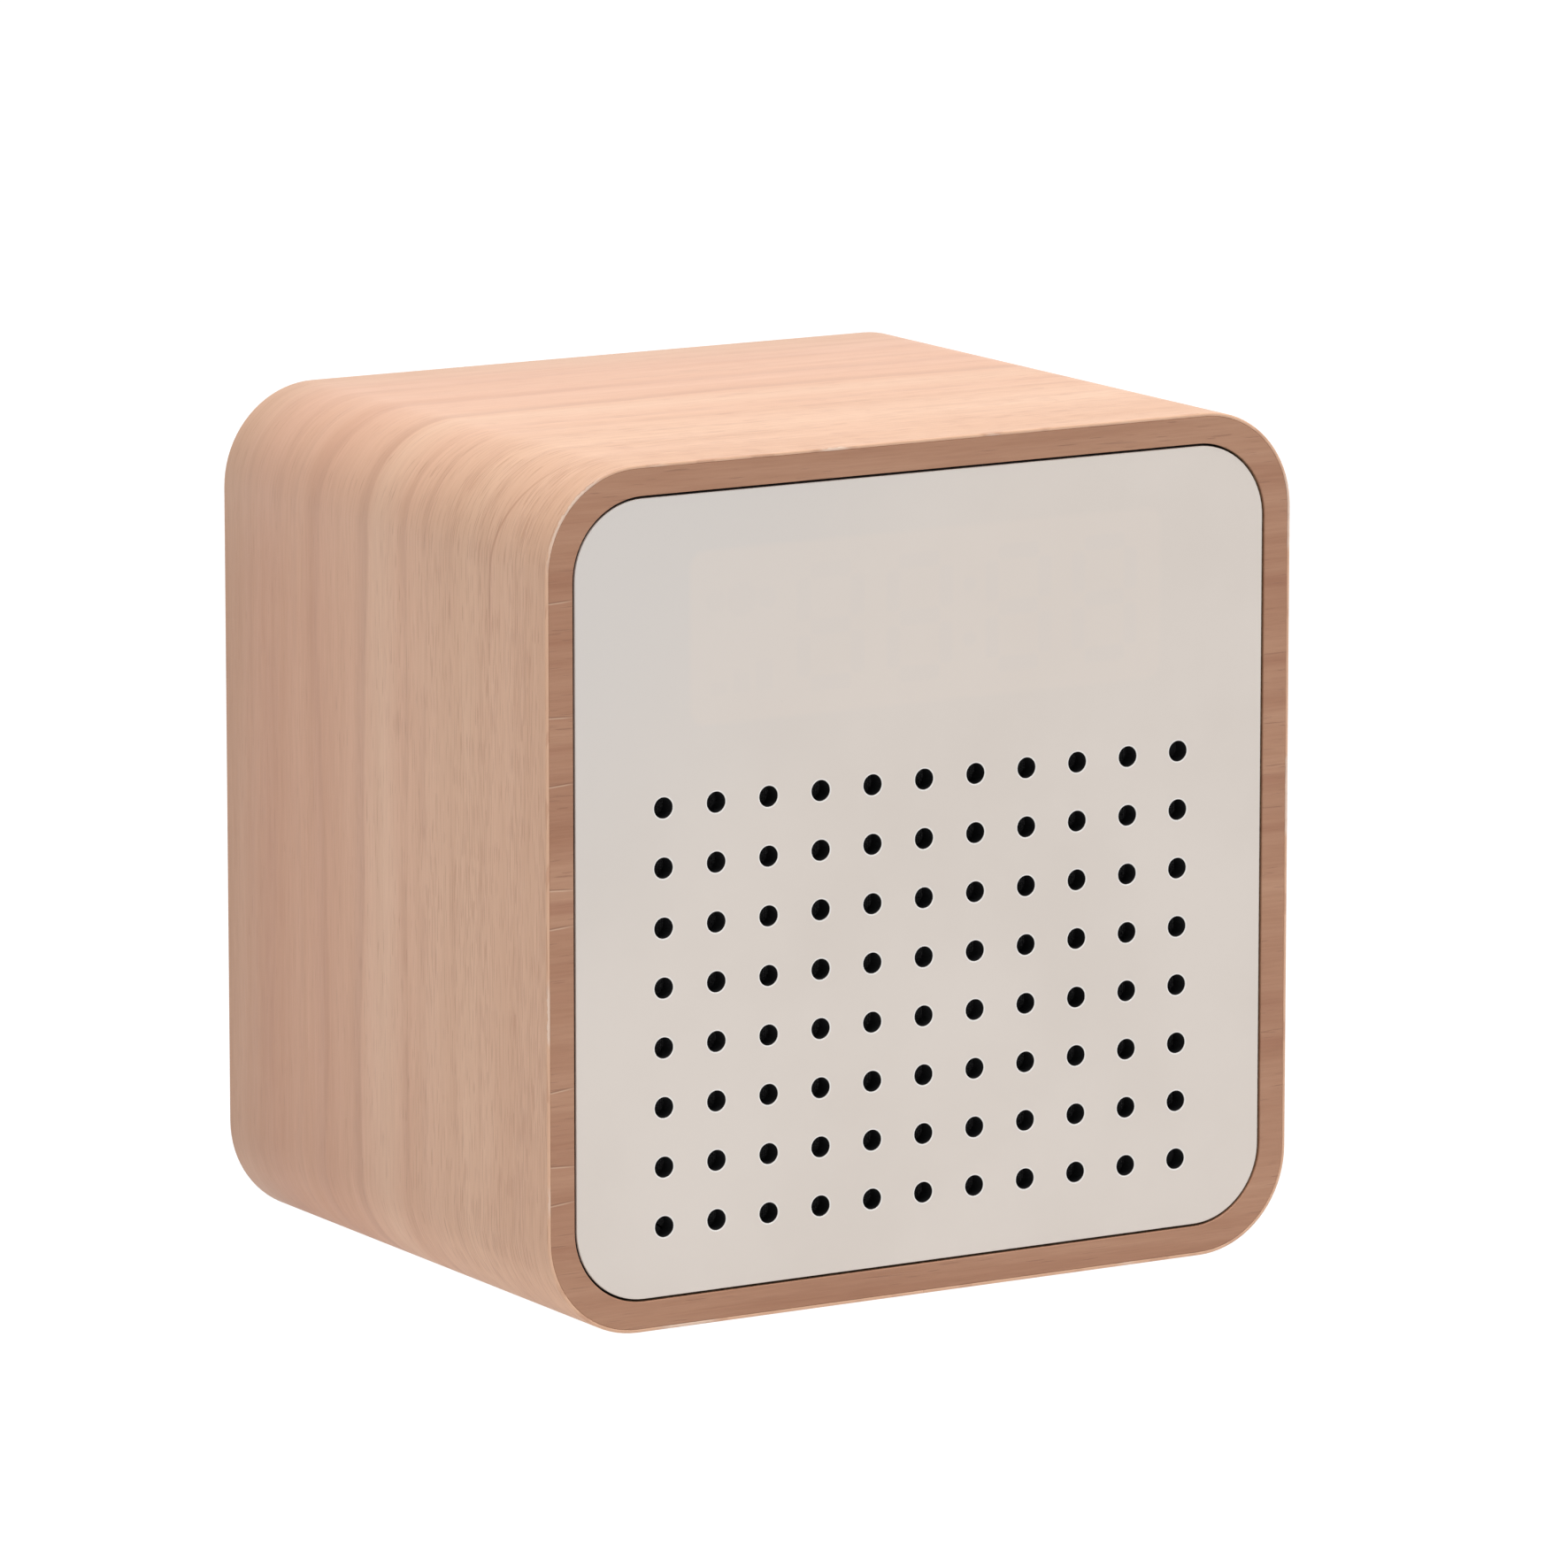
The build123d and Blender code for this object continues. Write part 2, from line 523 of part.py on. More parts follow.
def inlet_filters():
    """White membranes that keep dust out of the cell."""
    filter_front_y = CELL_FRONT_Y - FILTER_THICKNESS
    return [prism(inlet, filter_front_y, CELL_FRONT_Y) for inlet in inlet_outlines(FILTER_MARGIN)]


def cell_base():
    size = (CELL_SIZE[0] + 2 * CELL_BASE_MARGIN, CELL_SIZE[1] + 2 * CELL_BASE_MARGIN)
    outline = Pos(CELL_X, CELL_Z) * RectangleRounded(*size, CELL_CORNER)
    for x, z in pin_spots():
        outline -= Pos(x, z) * Circle(PIN_RADIUS + FIT_GAP)
    return prism(outline, CELL_BACK_Y, CELL_BASE_BACK_Y)


def cell_pins():
    top, tail = CELL_BACK_Y + PIN_TOP_GAP, SENSOR_BOARD_BACK_Y + PIN_TAIL
    return [rod(x, z, PIN_RADIUS, top, tail) for x, z in pin_spots()]


def lying_cylinder(x, radius, length):
    """A cylinder inside the cell, with its axis along X."""
    return Pos(CELL_X + x, CELL_BACK_Y - LAMP_AXIS_DEPTH, CELL_Z) * Rot(0, 90, 0) * Cylinder(radius, length)


def infrared_lamp():
    """A small filament lamp lying at one end of the cell, on a moulded foot."""
    lamp = lying_cylinder(LAMP_X, LAMP_RADIUS, LAMP_LENGTH)
    lamp = fillet(lamp.edges().group_by(Axis.X)[-1], LAMP_ROUNDING)
    foot_front = CELL_BACK_Y - LAMP_AXIS_DEPTH
    return lamp + block(CELL_X + LAMP_FOOT_X, CELL_Z, LAMP_FOOT_SIZE, foot_front, CELL_BACK_Y)


def infrared_detector():
    """A round metal can at the other end of the cell, with a square filter window towards the lamp."""
    can = lying_cylinder(DETECTOR_X, DETECTOR_RADIUS, DETECTOR_LENGTH)
    window = Box(2 * DETECTOR_WINDOW_DEPTH, DETECTOR_WINDOW, DETECTOR_WINDOW)
    window_x = CELL_X + DETECTOR_X - DETECTOR_LENGTH / 2
    return can - Pos(window_x, CELL_BACK_Y - LAMP_AXIS_DEPTH, CELL_Z) * window


def climate_sensor():
    x, z, width, height, thickness = CLIMATE_SENSOR
    return block(x, z, (width, height), GASKET_BACK_Y - thickness, GASKET_BACK_Y)


# ---- Back ----
def upper_vents():
    spots = GridLocations(VENT_PITCH, 1, UPPER_VENTS, 1)
    slot = RectangleRounded(VENT_WIDTH, UPPER_VENT_HEIGHT, VENT_CORNER)
    return [Pos(0, UPPER_VENT_Z) * spot * slot for spot in spots]


def lower_vents():
    spots = GridLocations(VENT_PITCH, 1, LOWER_VENTS, 1)
    slot = RectangleRounded(VENT_WIDTH, LOWER_VENT_HEIGHT, VENT_CORNER)
    return [Pos(side * LOWER_VENT_X, LOWER_VENT_Z) * spot * slot for side in (-1, 1) for spot in spots]


def rear_cover():
    """The back cover, with standoffs for the main board, and openings for the socket, buttons and air."""
    outline = square(CARRIER_SIZE, CARRIER_CORNER) - upper_vents() - lower_vents()
    outline -= Pos(0, SOCKET_Z) * RectangleRounded(*SOCKET_OPENING, SOCKET_OPENING_CORNER)
    for x in BUTTON_SPOTS.values():
        outline -= Pos(x, BUTTON_Z) * Circle(BUTTON_RADIUS + BUTTON_CLEARANCE)
    cover = prism(outline, COVER_INNER_Y, COVER_OUTER_Y)
    plug_recess = Pos(0, SOCKET_Z) * RectangleRounded(*PLUG_RECESS, PLUG_RECESS_CORNER)
    cover -= prism(plug_recess, COVER_OUTER_Y - PLUG_RECESS_DEPTH, COVER_OUTER_Y)
    for x, z in SPACER_SPOTS:
        cover -= rod(x, z, CLEARANCE_RADIUS, COVER_INNER_Y, COVER_OUTER_Y)
        cover -= rod(x, z, COUNTERBORE_RADIUS, COVER_OUTER_Y - COUNTERBORE_DEPTH, COVER_OUTER_Y)
    for x, z in four_spots(0, 0, MAIN_SCREW_X, MAIN_SCREW_Z):
        standoff = Pos(x, z) * (Circle(STANDOFF_RADIUS) - Circle(BOARD_SCREW[2] + FIT_GAP))
        cover += prism(standoff, MAIN_BOARD_REAR_Y, COVER_INNER_Y)
    return cover


def vent_cloth():
    """Black cloth glued inside the cover, behind the vents."""
    back = COVER_INNER_Y - CLOTH_THICKNESS
    upper_width = VENT_PITCH * (UPPER_VENTS - 1) + VENT_WIDTH + 2 * VENT_CLOTH_MARGIN
    lower_width = VENT_PITCH * (LOWER_VENTS - 1) + VENT_WIDTH + VENT_CLOTH_MARGIN
    upper_size = (upper_width, UPPER_VENT_HEIGHT + 2 * VENT_CLOTH_MARGIN)
    lower_size = (lower_width, LOWER_VENT_HEIGHT + 2 * VENT_CLOTH_MARGIN)
    lower = [block(side * LOWER_VENT_X, LOWER_VENT_Z, lower_size, back, COVER_INNER_Y) for side in (-1, 1)]
    return [block(0, UPPER_VENT_Z, upper_size, back, COVER_INNER_Y), *lower]


def tie_spacers():
    """Hexagonal spacers, threaded at both ends, that tie the carrier to the back cover."""
    spacers = []
    back = COVER_INNER_Y - SPACER_END_GAP
    for x, z in SPACER_SPOTS:
        spacer = prism(Pos(x, z) * RegularPolygon(SPACER_ACROSS_CORNERS_RADIUS, 6), CARRIER_BACK_Y, back)
        spacer -= rod(x, z, SUNK_SCREW[2] + FIT_GAP, CARRIER_BACK_Y, CARRIER_BACK_Y + SPACER_THREAD_DEPTH)
        spacer -= rod(x, z, CASE_SCREW[2] + FIT_GAP, back - SPACER_THREAD_DEPTH, back)
        spacers.append(spacer)
    return spacers


def main_board():
    outline = RectangleRounded(*MAIN_BOARD_SIZE, MAIN_BOARD_CORNER)
    for x, z in four_spots(0, 0, MAIN_SCREW_X, MAIN_SCREW_Z):
        outline -= Pos(x, z) * Circle(BOARD_SCREW[2] + BOARD_HOLE_GAP)
    return prism(outline, MAIN_BOARD_FRONT_Y, MAIN_BOARD_REAR_Y)


def socket_shell():
    """The metal shell of the power socket, standing on the main board and ending inside the cover."""
    outside = RectangleRounded(*SOCKET_SIZE, SOCKET_SIZE[1] * OVAL_CORNER_SHARE)
    inside_size = (SOCKET_SIZE[0] - 2 * SOCKET_WALL, SOCKET_SIZE[1] - 2 * SOCKET_WALL)
    inside = RectangleRounded(*inside_size, inside_size[1] * OVAL_CORNER_SHARE)
    return prism(Pos(0, SOCKET_Z) * (outside - inside), MAIN_BOARD_REAR_Y, MAIN_BOARD_REAR_Y + SOCKET_LENGTH)


def socket_tongue():
    """The plastic tongue inside the socket, with a wider root on the board."""
    shrink = 2 * (SOCKET_WALL + TONGUE_ROOT_GAP)
    root_size = (SOCKET_SIZE[0] - shrink, SOCKET_SIZE[1] - shrink)
    root_outline = Pos(0, SOCKET_Z) * RectangleRounded(*root_size, root_size[1] * OVAL_CORNER_SHARE)
    root_end = MAIN_BOARD_REAR_Y + TONGUE_ROOT_LENGTH
    tongue = block(0, SOCKET_Z, TONGUE_SIZE, root_end, MAIN_BOARD_REAR_Y + SOCKET_LENGTH - TONGUE_SETBACK)
    return prism(root_outline, MAIN_BOARD_REAR_Y, root_end) + tongue


def switch_body(x):
    body = block(x, BUTTON_Z, (SWITCH_SIZE, SWITCH_SIZE), MAIN_BOARD_REAR_Y, SWITCH_TOP_Y)
    return body - rod(x, BUTTON_Z, PLUNGER_RADIUS + PLUNGER_GAP, SWITCH_TOP_Y - PLUNGER_POCKET, SWITCH_TOP_Y)


def switch_plunger(x):
    """The part of the switch that moves with its button, resting above the floor of its pocket."""
    return rod(x, BUTTON_Z, PLUNGER_RADIUS, SWITCH_TOP_Y - PLUNGER_POCKET / 2, PLUNGER_TOP_Y)


def button(x):
    """A round cap with a flange inside the cover, and a stem that presses on the switch."""
    flange_top = COVER_INNER_Y - BUTTON_REST_GAP
    flange_foot = flange_top - BUTTON_FLANGE_THICKNESS
    top = COVER_OUTER_Y + BUTTON_PROUD
    cap = rod(x, BUTTON_Z, BUTTON_RADIUS, flange_top, top)
    cap = fillet(cap.edges().group_by(Axis.Y)[-1], BUTTON_ROUNDING)
    flange = rod(x, BUTTON_Z, BUTTON_FLANGE_RADIUS, flange_foot, flange_top)
    return cap + flange + rod(x, BUTTON_Z, PLUNGER_RADIUS, PLUNGER_TOP_Y, flange_foot)


# ---- Pieces on the front side of the main board ----
def on_board(part, lift=0.0):
    """A block on the board's front side, standing on it or lifted above it."""
    x, z, width, height, thickness = part
    return block(x, z, (width, height), MAIN_BOARD_FRONT_Y - lift - thickness, MAIN_BOARD_FRONT_Y - lift)


def radio_module():
    return on_board(RADIO_MODULE)


def radio_shield():
    """The pressed metal can over the processor and radio, leaving the aerial end bare."""
    can = on_board(RADIO_SHIELD, lift=RADIO_MODULE[4])
    return fillet(can.edges().group_by(Axis.Y)[0], RADIO_SHIELD_ROUNDING)


def board_chips():
    """The power regulator, the gauge memory, the clock chip and the small parts round them."""
    return [on_board(part) for part in (*CHIPS, *SMALL_CHIPS)]


def clock_crystal():
    return fillet(on_board(CRYSTAL).edges().filter_by(Axis.Y), CRYSTAL_CORNER)


def capacitors():
    """Two upright electrolytic capacitors."""
    cans = []
    for x, z in CAPACITOR_SPOTS:
        can = rod(x, z, CAPACITOR_RADIUS, MAIN_BOARD_FRONT_Y - CAPACITOR_HEIGHT, MAIN_BOARD_FRONT_Y)
        cans.append(fillet(can.edges().group_by(Axis.Y)[0], CAPACITOR_ROUNDING))
    return cans


def power_coil():
    return fillet(on_board(POWER_COIL).edges().filter_by(Axis.Y), POWER_COIL_CORNER)


def buzzer():
    """A round sounder with its sound hole towards the front."""
    top = MAIN_BOARD_FRONT_Y - BUZZER_HEIGHT
    can = rod(*BUZZER_SPOT, BUZZER_RADIUS, top, MAIN_BOARD_FRONT_Y)
    return can - rod(*BUZZER_SPOT, SOUND_HOLE_RADIUS, top, top + SOUND_HOLE_DEPTH)


# ---- Flat cables ----
def flat_cable(route):
    """A flat cable bent along a route of (y, z) points, with round bends."""
    path = FilletPolyline(*[(0, y, z) for y, z in route], radius=CABLE_BEND)
    cable = None
    for run in path.edges():
        across = Plane(origin=run @ 0, x_dir=(1, 0, 0), z_dir=run % 0)
        length = sweep(across * Rectangle(CABLE_WIDTH, CABLE_THICKNESS), path=run)
        cable = length if cable is None else cable + length
    return cable


def connector(z, y_from):
    return block(0, z, CONNECTOR_SIZE, y_from, y_from + CONNECTOR_HEIGHT)


def display_cable():
    start = DISPLAY_BOARD_BACK_Y + CONNECTOR_HEIGHT
    end = MAIN_BOARD_FRONT_Y - CONNECTOR_HEIGHT
    return flat_cable([(start, DISPLAY_PLUG_Z), *DISPLAY_CABLE_BENDS, (end, MAIN_DISPLAY_PLUG_Z)])


def sensor_cable():
    start = SENSOR_BOARD_BACK_Y + CONNECTOR_HEIGHT
    end = MAIN_BOARD_FRONT_Y - CONNECTOR_HEIGHT
    return flat_cable([(start, SENSOR_PLUG_Z), *SENSOR_CABLE_BENDS, (end, MAIN_SENSOR_PLUG_Z)])


# ---- Write every node ----
os.makedirs("parts", exist_ok=True)

export("case_core", case_core())
export("wrap_veneer", wrap_veneer())
export("front_edge_veneer", edge_veneer(FRONT_Y, CORE_FRONT_Y))
export("rear_edge_veneer", edge_veneer(CORE_REAR_Y, REAR_Y))
export("rubber_feet", *rubber_feet())

export("front_skin", front_skin())
export("skin_glue", skin_glue())
export("grille_cloth", grille_cloth())
export("front_carrier", front_carrier())
export("carrier_screws", *[sunk_screw(x, z) for x, z in SPACER_SPOTS])
export("tie_spacers", *tie_spacers())

export("display_housing", display_housing())
export("digit_bars", *light_guides(all_digit_bars()))
export("colon_and_signs", *light_guides(sign_outlines()))
export("display_leds", *display_leds())
export("display_board", display_board())
export("display_driver", *display_driver())
display_screw_spots = four_spots(DISPLAY_X, DISPLAY_Z, DISPLAY_SCREW_X, DISPLAY_SCREW_Z)
display_screws = [pan_screw(x, z, FINE_SCREW, DISPLAY_BOARD_BACK_Y, 1) for x, z in display_screw_spots]
export("display_screws", *display_screws)
export("display_connector", connector(DISPLAY_PLUG_Z, DISPLAY_BOARD_BACK_Y))
export("display_cable", display_cable())

export("sensor_gasket", sensor_gasket())
export("sensor_board", sensor_board())
sensor_screw_spots = four_spots(0, HOLE_GRID_Z, SENSOR_SCREW_X, SENSOR_SCREW_Z)
sensor_screws = [pan_screw(x, z, FINE_SCREW, SENSOR_BOARD_BACK_Y, 1) for x, z in sensor_screw_spots]
export("sensor_screws", *sensor_screws)
export("gas_cell_cover", cell_cover())
export("gas_cell_base", cell_base())
export("gas_cell_filters", *inlet_filters())
export("gas_cell_pins", *cell_pins())
export("infrared_lamp", infrared_lamp())
export("infrared_detector", infrared_detector())
export("climate_sensor", climate_sensor())
export("sensor_connector", connector(SENSOR_PLUG_Z, SENSOR_BOARD_BACK_Y))
export("sensor_cable", sensor_cable())

export("main_board", main_board())
main_screw_spots = four_spots(0, 0, MAIN_SCREW_X, MAIN_SCREW_Z)
main_board_screws = [pan_screw(x, z, BOARD_SCREW, MAIN_BOARD_FRONT_Y, -1) for x, z in main_screw_spots]
export("main_board_screws", *main_board_screws)
export("radio_module", radio_module())
export("radio_shield", radio_shield())
export("board_chips", *board_chips())
export("clock_crystal", clock_crystal())
export("capacitors", *capacitors())
export("power_coil", power_coil())
export("buzzer", buzzer())
main_plug_y = MAIN_BOARD_FRONT_Y - CONNECTOR_HEIGHT
main_connectors = [connector(z, main_plug_y) for z in (MAIN_DISPLAY_PLUG_Z, MAIN_SENSOR_PLUG_Z)]
export("main_connectors", *main_connectors)
export("socket_shell", socket_shell())
export("socket_tongue", socket_tongue())
export("switch_bodies", *[switch_body(x) for x in BUTTON_SPOTS.values()])

export("rear_cover", rear_cover())
export("vent_cloth", *vent_cloth())
rear_seat_y = COVER_OUTER_Y - COUNTERBORE_DEPTH
export("rear_screws", *[pan_screw(x, z, CASE_SCREW, rear_seat_y, 1) for x, z in SPACER_SPOTS])
for button_name, button_x in BUTTON_SPOTS.items():
    export(f"{button_name}_button", button(button_x))
    export(f"{button_name}_switch_plunger", switch_plunger(button_x))
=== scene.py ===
# %% [markdown]
# # A carbon dioxide monitor in a wooden case
#
# The object is a small desk instrument: a square tube of fibreboard wrapped in wood veneer, a thin white
# skin with air holes over a black moulding at the front, and a plastic cover with vents, buttons and a
# power socket at the back. The CAD model is already true in size, so nothing in this lesson moves it. The
# lesson gives the outside pieces the softer edges and finer shapes that CAD leaves out, and gives every
# piece a finish.
#
# The first lines load the CAD model as the frame that everything else is placed in.

# %% Load the frame
import json
import math

import bmesh
import bpy
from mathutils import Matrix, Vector


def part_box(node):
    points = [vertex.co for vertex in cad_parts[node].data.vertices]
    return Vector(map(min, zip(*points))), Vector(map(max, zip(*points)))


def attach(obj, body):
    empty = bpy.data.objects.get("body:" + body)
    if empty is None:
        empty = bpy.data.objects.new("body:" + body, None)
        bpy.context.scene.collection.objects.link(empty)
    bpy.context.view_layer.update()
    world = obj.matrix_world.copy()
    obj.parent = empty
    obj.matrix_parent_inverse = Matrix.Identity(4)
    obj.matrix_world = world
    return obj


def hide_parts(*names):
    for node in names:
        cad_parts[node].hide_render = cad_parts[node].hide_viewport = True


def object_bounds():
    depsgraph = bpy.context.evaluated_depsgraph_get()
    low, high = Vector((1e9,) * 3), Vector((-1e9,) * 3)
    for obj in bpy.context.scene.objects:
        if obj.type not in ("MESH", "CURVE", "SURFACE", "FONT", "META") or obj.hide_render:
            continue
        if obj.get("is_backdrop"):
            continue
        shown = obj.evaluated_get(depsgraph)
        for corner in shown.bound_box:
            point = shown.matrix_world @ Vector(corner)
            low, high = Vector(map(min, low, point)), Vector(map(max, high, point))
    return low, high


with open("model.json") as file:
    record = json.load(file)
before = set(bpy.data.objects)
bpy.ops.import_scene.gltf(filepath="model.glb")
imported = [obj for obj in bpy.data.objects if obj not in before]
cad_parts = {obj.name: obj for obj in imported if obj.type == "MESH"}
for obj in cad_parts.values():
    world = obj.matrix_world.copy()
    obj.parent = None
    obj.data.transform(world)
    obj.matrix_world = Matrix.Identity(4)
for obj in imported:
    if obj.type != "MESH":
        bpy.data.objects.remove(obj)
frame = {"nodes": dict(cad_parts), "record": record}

MM = 0.001
cad_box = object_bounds()
cad_nodes = frame["nodes"]
record = frame["record"]
node_slots = {part["node"]: part["material_slot"] for part in record["subparts"]}

# %% [markdown]
# ## Camera
#
# The camera comes first, because every later choice is judged through it. It stands to the left of the
# object and a little above it. A long lens from more than a metre away keeps the edges of the box nearly
# parallel, as in a product picture. Its place is worked out from the middle of the front face and two
# angles, so it follows the object if its size changes.

# %% Camera
CAMERA_AZIMUTH = math.radians(-30.99)
CAMERA_ELEVATION = math.radians(10.56)
CAMERA_DISTANCE = 1.2754
CAMERA_LENS = 252.5
AIM_LEFT = 16.3 * MM
AIM_UP = 9.88 * MM

case_low, case_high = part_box("wrap_veneer")
case_middle = (case_low + case_high) / 2
case_size = case_high.x - case_low.x
case_depth = case_high.y - case_low.y
front_y = case_low.y

towards_camera = Vector((
    math.sin(CAMERA_AZIMUTH) * math.cos(CAMERA_ELEVATION),
    -math.cos(CAMERA_AZIMUTH) * math.cos(CAMERA_ELEVATION),
    math.sin(CAMERA_ELEVATION),
))
scene = bpy.context.scene
camera = bpy.data.objects.new("camera", bpy.data.cameras.new("camera"))
scene.collection.objects.link(camera)
camera.rotation_mode = "QUATERNION"
camera.rotation_quaternion = towards_camera.to_track_quat("Z", "Y")
camera_right = camera.rotation_quaternion @ Vector((1, 0, 0))
camera_up = camera.rotation_quaternion @ Vector((0, 1, 0))
front_centre = Vector((case_middle.x, front_y, case_middle.z))
aim = front_centre - camera_right * AIM_LEFT + camera_up * AIM_UP
camera.location = aim + towards_camera * CAMERA_DISTANCE
camera.data.lens = CAMERA_LENS
camera.data.clip_start = 10 * MM
scene.camera = camera
print("case", round(case_size / MM, 1), "mm wide and", round(case_depth / MM, 1), "mm deep")
print("camera at", [round(value, 3) for value in camera.location])

# %% [markdown]
# ## Small helpers for node trees
#
# Shader trees and geometry trees are made of the same steps: add a node, set it up, and join its inputs to
# earlier outputs. One helper does all of that, so each tree below reads as a list of what it does. An input
# that is given a socket is linked, and anything else is set as a value.

# %% Node tree helpers
FLOAT, WHOLE, VECTOR, COLOUR = "NodeSocketFloat", "NodeSocketInt", "NodeSocketVector", "NodeSocketColor"
GEOMETRY, OBJECT, MATERIAL = "NodeSocketGeometry", "NodeSocketObject", "NodeSocketMaterial"


def fill_in(tree, node, inputs):
    """Fills a node's inputs, given by name or by number."""
    for key, value in (inputs or {}).items():
        if isinstance(value, bpy.types.NodeSocket):
            tree.links.new(value, node.inputs[key])
        else:
            node.inputs[key].default_value = value


def add(tree, kind, inputs=None, **settings):
    """Adds a node, sets its settings, fills its inputs and returns it."""
    node = tree.nodes.new(kind)
    for name, value in settings.items():
        setattr(node, name, value)
    fill_in(tree, node, inputs)
    return node


def made(tree, kind, inputs=None, **settings):
    """Adds a node in the same way and returns its first output."""
    return add(tree, kind, inputs, **settings).outputs[0]


def maths(tree, operation, *values):
    """What a Math node gives for these values."""
    return made(tree, "ShaderNodeMath", dict(enumerate(values)), operation=operation)


def short_for(operation):
    """A short helper for one operation of the Math node."""
    def helper(tree, *values):
        return maths(tree, operation, *values)
    return helper


plus, less, times, parted = (short_for(name) for name in ("ADD", "SUBTRACT", "MULTIPLY", "DIVIDE"))
larger, unsigned = short_for("MAXIMUM"), short_for("ABSOLUTE")


def one_minus(tree, value):
    return less(tree, 1.0, value)


def split(tree, vector):
    """The parts of a vector, by the names X, Y and Z."""
    return add(tree, "ShaderNodeSeparateXYZ", {0: vector}).outputs


def joined(tree, **parts):
    """A vector from its parts."""
    return made(tree, "ShaderNodeCombineXYZ", parts)


def new_group(name, kind, inputs, outputs):
    """A node group: its tree, its inputs by name, and the node that takes its outputs."""
    tree = bpy.data.node_groups.new(name, kind)
    for label, (socket_type, value) in inputs.items():
        socket = tree.interface.new_socket(label, in_out="INPUT", socket_type=socket_type)
        if value is not None:
            socket.default_value = value
    for label, socket_type in outputs.items():
        tree.interface.new_socket(label, in_out="OUTPUT", socket_type=socket_type)
    return tree, tree.nodes.new("NodeGroupInput").outputs, tree.nodes.new("NodeGroupOutput")


def use(tree, group, inputs):
    """Places a node group in a tree and returns its outputs."""
    kind = "ShaderNodeGroup" if group.bl_idname == "ShaderNodeTree" else "GeometryNodeGroup"
    node = add(tree, kind, node_tree=group)
    fill_in(tree, node, inputs)
    return node.outputs


# %% [markdown]
# ## Floor and light
#
# The object stands on pale paper in a bright, even studio. A real studio does this with one very large soft
# box overhead, white walls and a table that glows a little from below. Here a sun lamp with a very wide
# angle is the soft box: it lights the floor evenly however far it reaches, which an area lamp doesn't. The
# world is the white walls. It looks white to the camera and in reflections, but gives less light than it
# shows, so the top, front and side of the box keep apart in tone. The glow of the floor fills the shadows
# near the feet. The camera sees the floor whiter than the light it gives, and sees through its underside,
# so that the object can be looked at from below.

# %% Floor, lamp and world
FLOOR_SIZE = 8.0
PAPER_TONES = (0.40, 0.44)
FLOOR_GLOW = 0.54
SEEN_GLOW = 1.1
SEEN_SHARE = 0.85
FLOOR_DROP = 0.05 * MM
WORLD_LIGHT = 0.22
KEY_STRENGTH = 3.2
KEY_ANGLE = math.radians(50)
KEY_TOWARDS = Vector((0.10, -0.20, 1.0))


def make_floor():
    """A flat sheet of pale paper, which isn't part of the object."""
    mesh = bpy.data.meshes.new("floor")
    half = FLOOR_SIZE / 2
    corners = [(x * half, y * half, -FLOOR_DROP) for x, y in ((-1, -1), (1, -1), (1, 1), (-1, 1))]
    mesh.from_pydata(corners, [], [(0, 1, 2, 3)])
    floor = bpy.data.objects.new("floor", mesh)
    scene.collection.objects.link(floor)
    material = bpy.data.materials.new("floor_paper")
    material.use_nodes = True
    tree = material.node_tree
    place = add(tree, "ShaderNodeTexCoord").outputs["Object"]
    fleck = add(tree, "ShaderNodeTexNoise", {"Vector": place, "Scale": 400.0, "Detail": 2.0}).outputs["Fac"]
    tones = {"Value": fleck, "To Min": PAPER_TONES[0], "To Max": PAPER_TONES[1]}
    tone = made(tree, "ShaderNodeMapRange", tones)
    glow = {"Emission Color": (1, 1, 1, 1), "Emission Strength": FLOOR_GLOW}
    paper = tree.nodes["Principled BSDF"]
    fill_in(tree, paper, {"Base Color": tone, "Roughness": 0.9, **glow})
    under = add(tree, "ShaderNodeNewGeometry").outputs["Backfacing"]
    seen = add(tree, "ShaderNodeLightPath").outputs["Is Camera Ray"]
    white = made(tree, "ShaderNodeEmission", {"Color": (1, 1, 1, 1), "Strength": SEEN_GLOW})
    share = {0: times(tree, seen, SEEN_SHARE), 1: paper.outputs[0], 2: white}
    table = made(tree, "ShaderNodeMixShader", share)
    clear = made(tree, "ShaderNodeBsdfTransparent")
    share = {0: times(tree, under, seen), 1: table, 2: clear}
    surface = made(tree, "ShaderNodeMixShader", share)
    fill_in(tree, tree.nodes["Material Output"], {"Surface": surface})
    mesh.materials.append(material)
    floor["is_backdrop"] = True


def make_key_lamp():
    """The wide soft light from above and a little in front."""
    lamp = bpy.data.objects.new("key_lamp", bpy.data.lights.new("key_lamp", "SUN"))
    scene.collection.objects.link(lamp)
    lamp.data.energy = KEY_STRENGTH
    lamp.data.angle = KEY_ANGLE
    lamp.rotation_mode = "QUATERNION"
    lamp.rotation_quaternion = KEY_TOWARDS.to_track_quat("Z", "Y")


def make_world():
    """White walls, which show brighter than the light they give."""
    world = bpy.data.worlds.new("studio")
    scene.world = world
    world.use_nodes = True
    tree = world.node_tree
    ray = add(tree, "ShaderNodeLightPath").outputs
    seen = larger(tree, ray["Is Camera Ray"], ray["Is Glossy Ray"])
    strength = maths(tree, "MULTIPLY_ADD", seen, 1.0 - WORLD_LIGHT, WORLD_LIGHT)
    fill_in(tree, tree.nodes["Background"], {"Color": (1, 1, 1, 1), "Strength": strength})


make_floor()
make_key_lamp()
make_world()
scene.view_settings.view_transform = "Standard"
print("floor", FLOOR_SIZE, "m, world light", WORLD_LIGHT)

# %% [markdown]
# ## Helpers for shapes
#
# Most outside pieces here are sheets and rings: a flat outline with an edge that is a little rounded. Such
# a piece is an outline path with an edge section swept along it. Paths and sections are short lists of
# points, so they are written as plain curve objects that the geometry trees read. Every length is in
# metres.

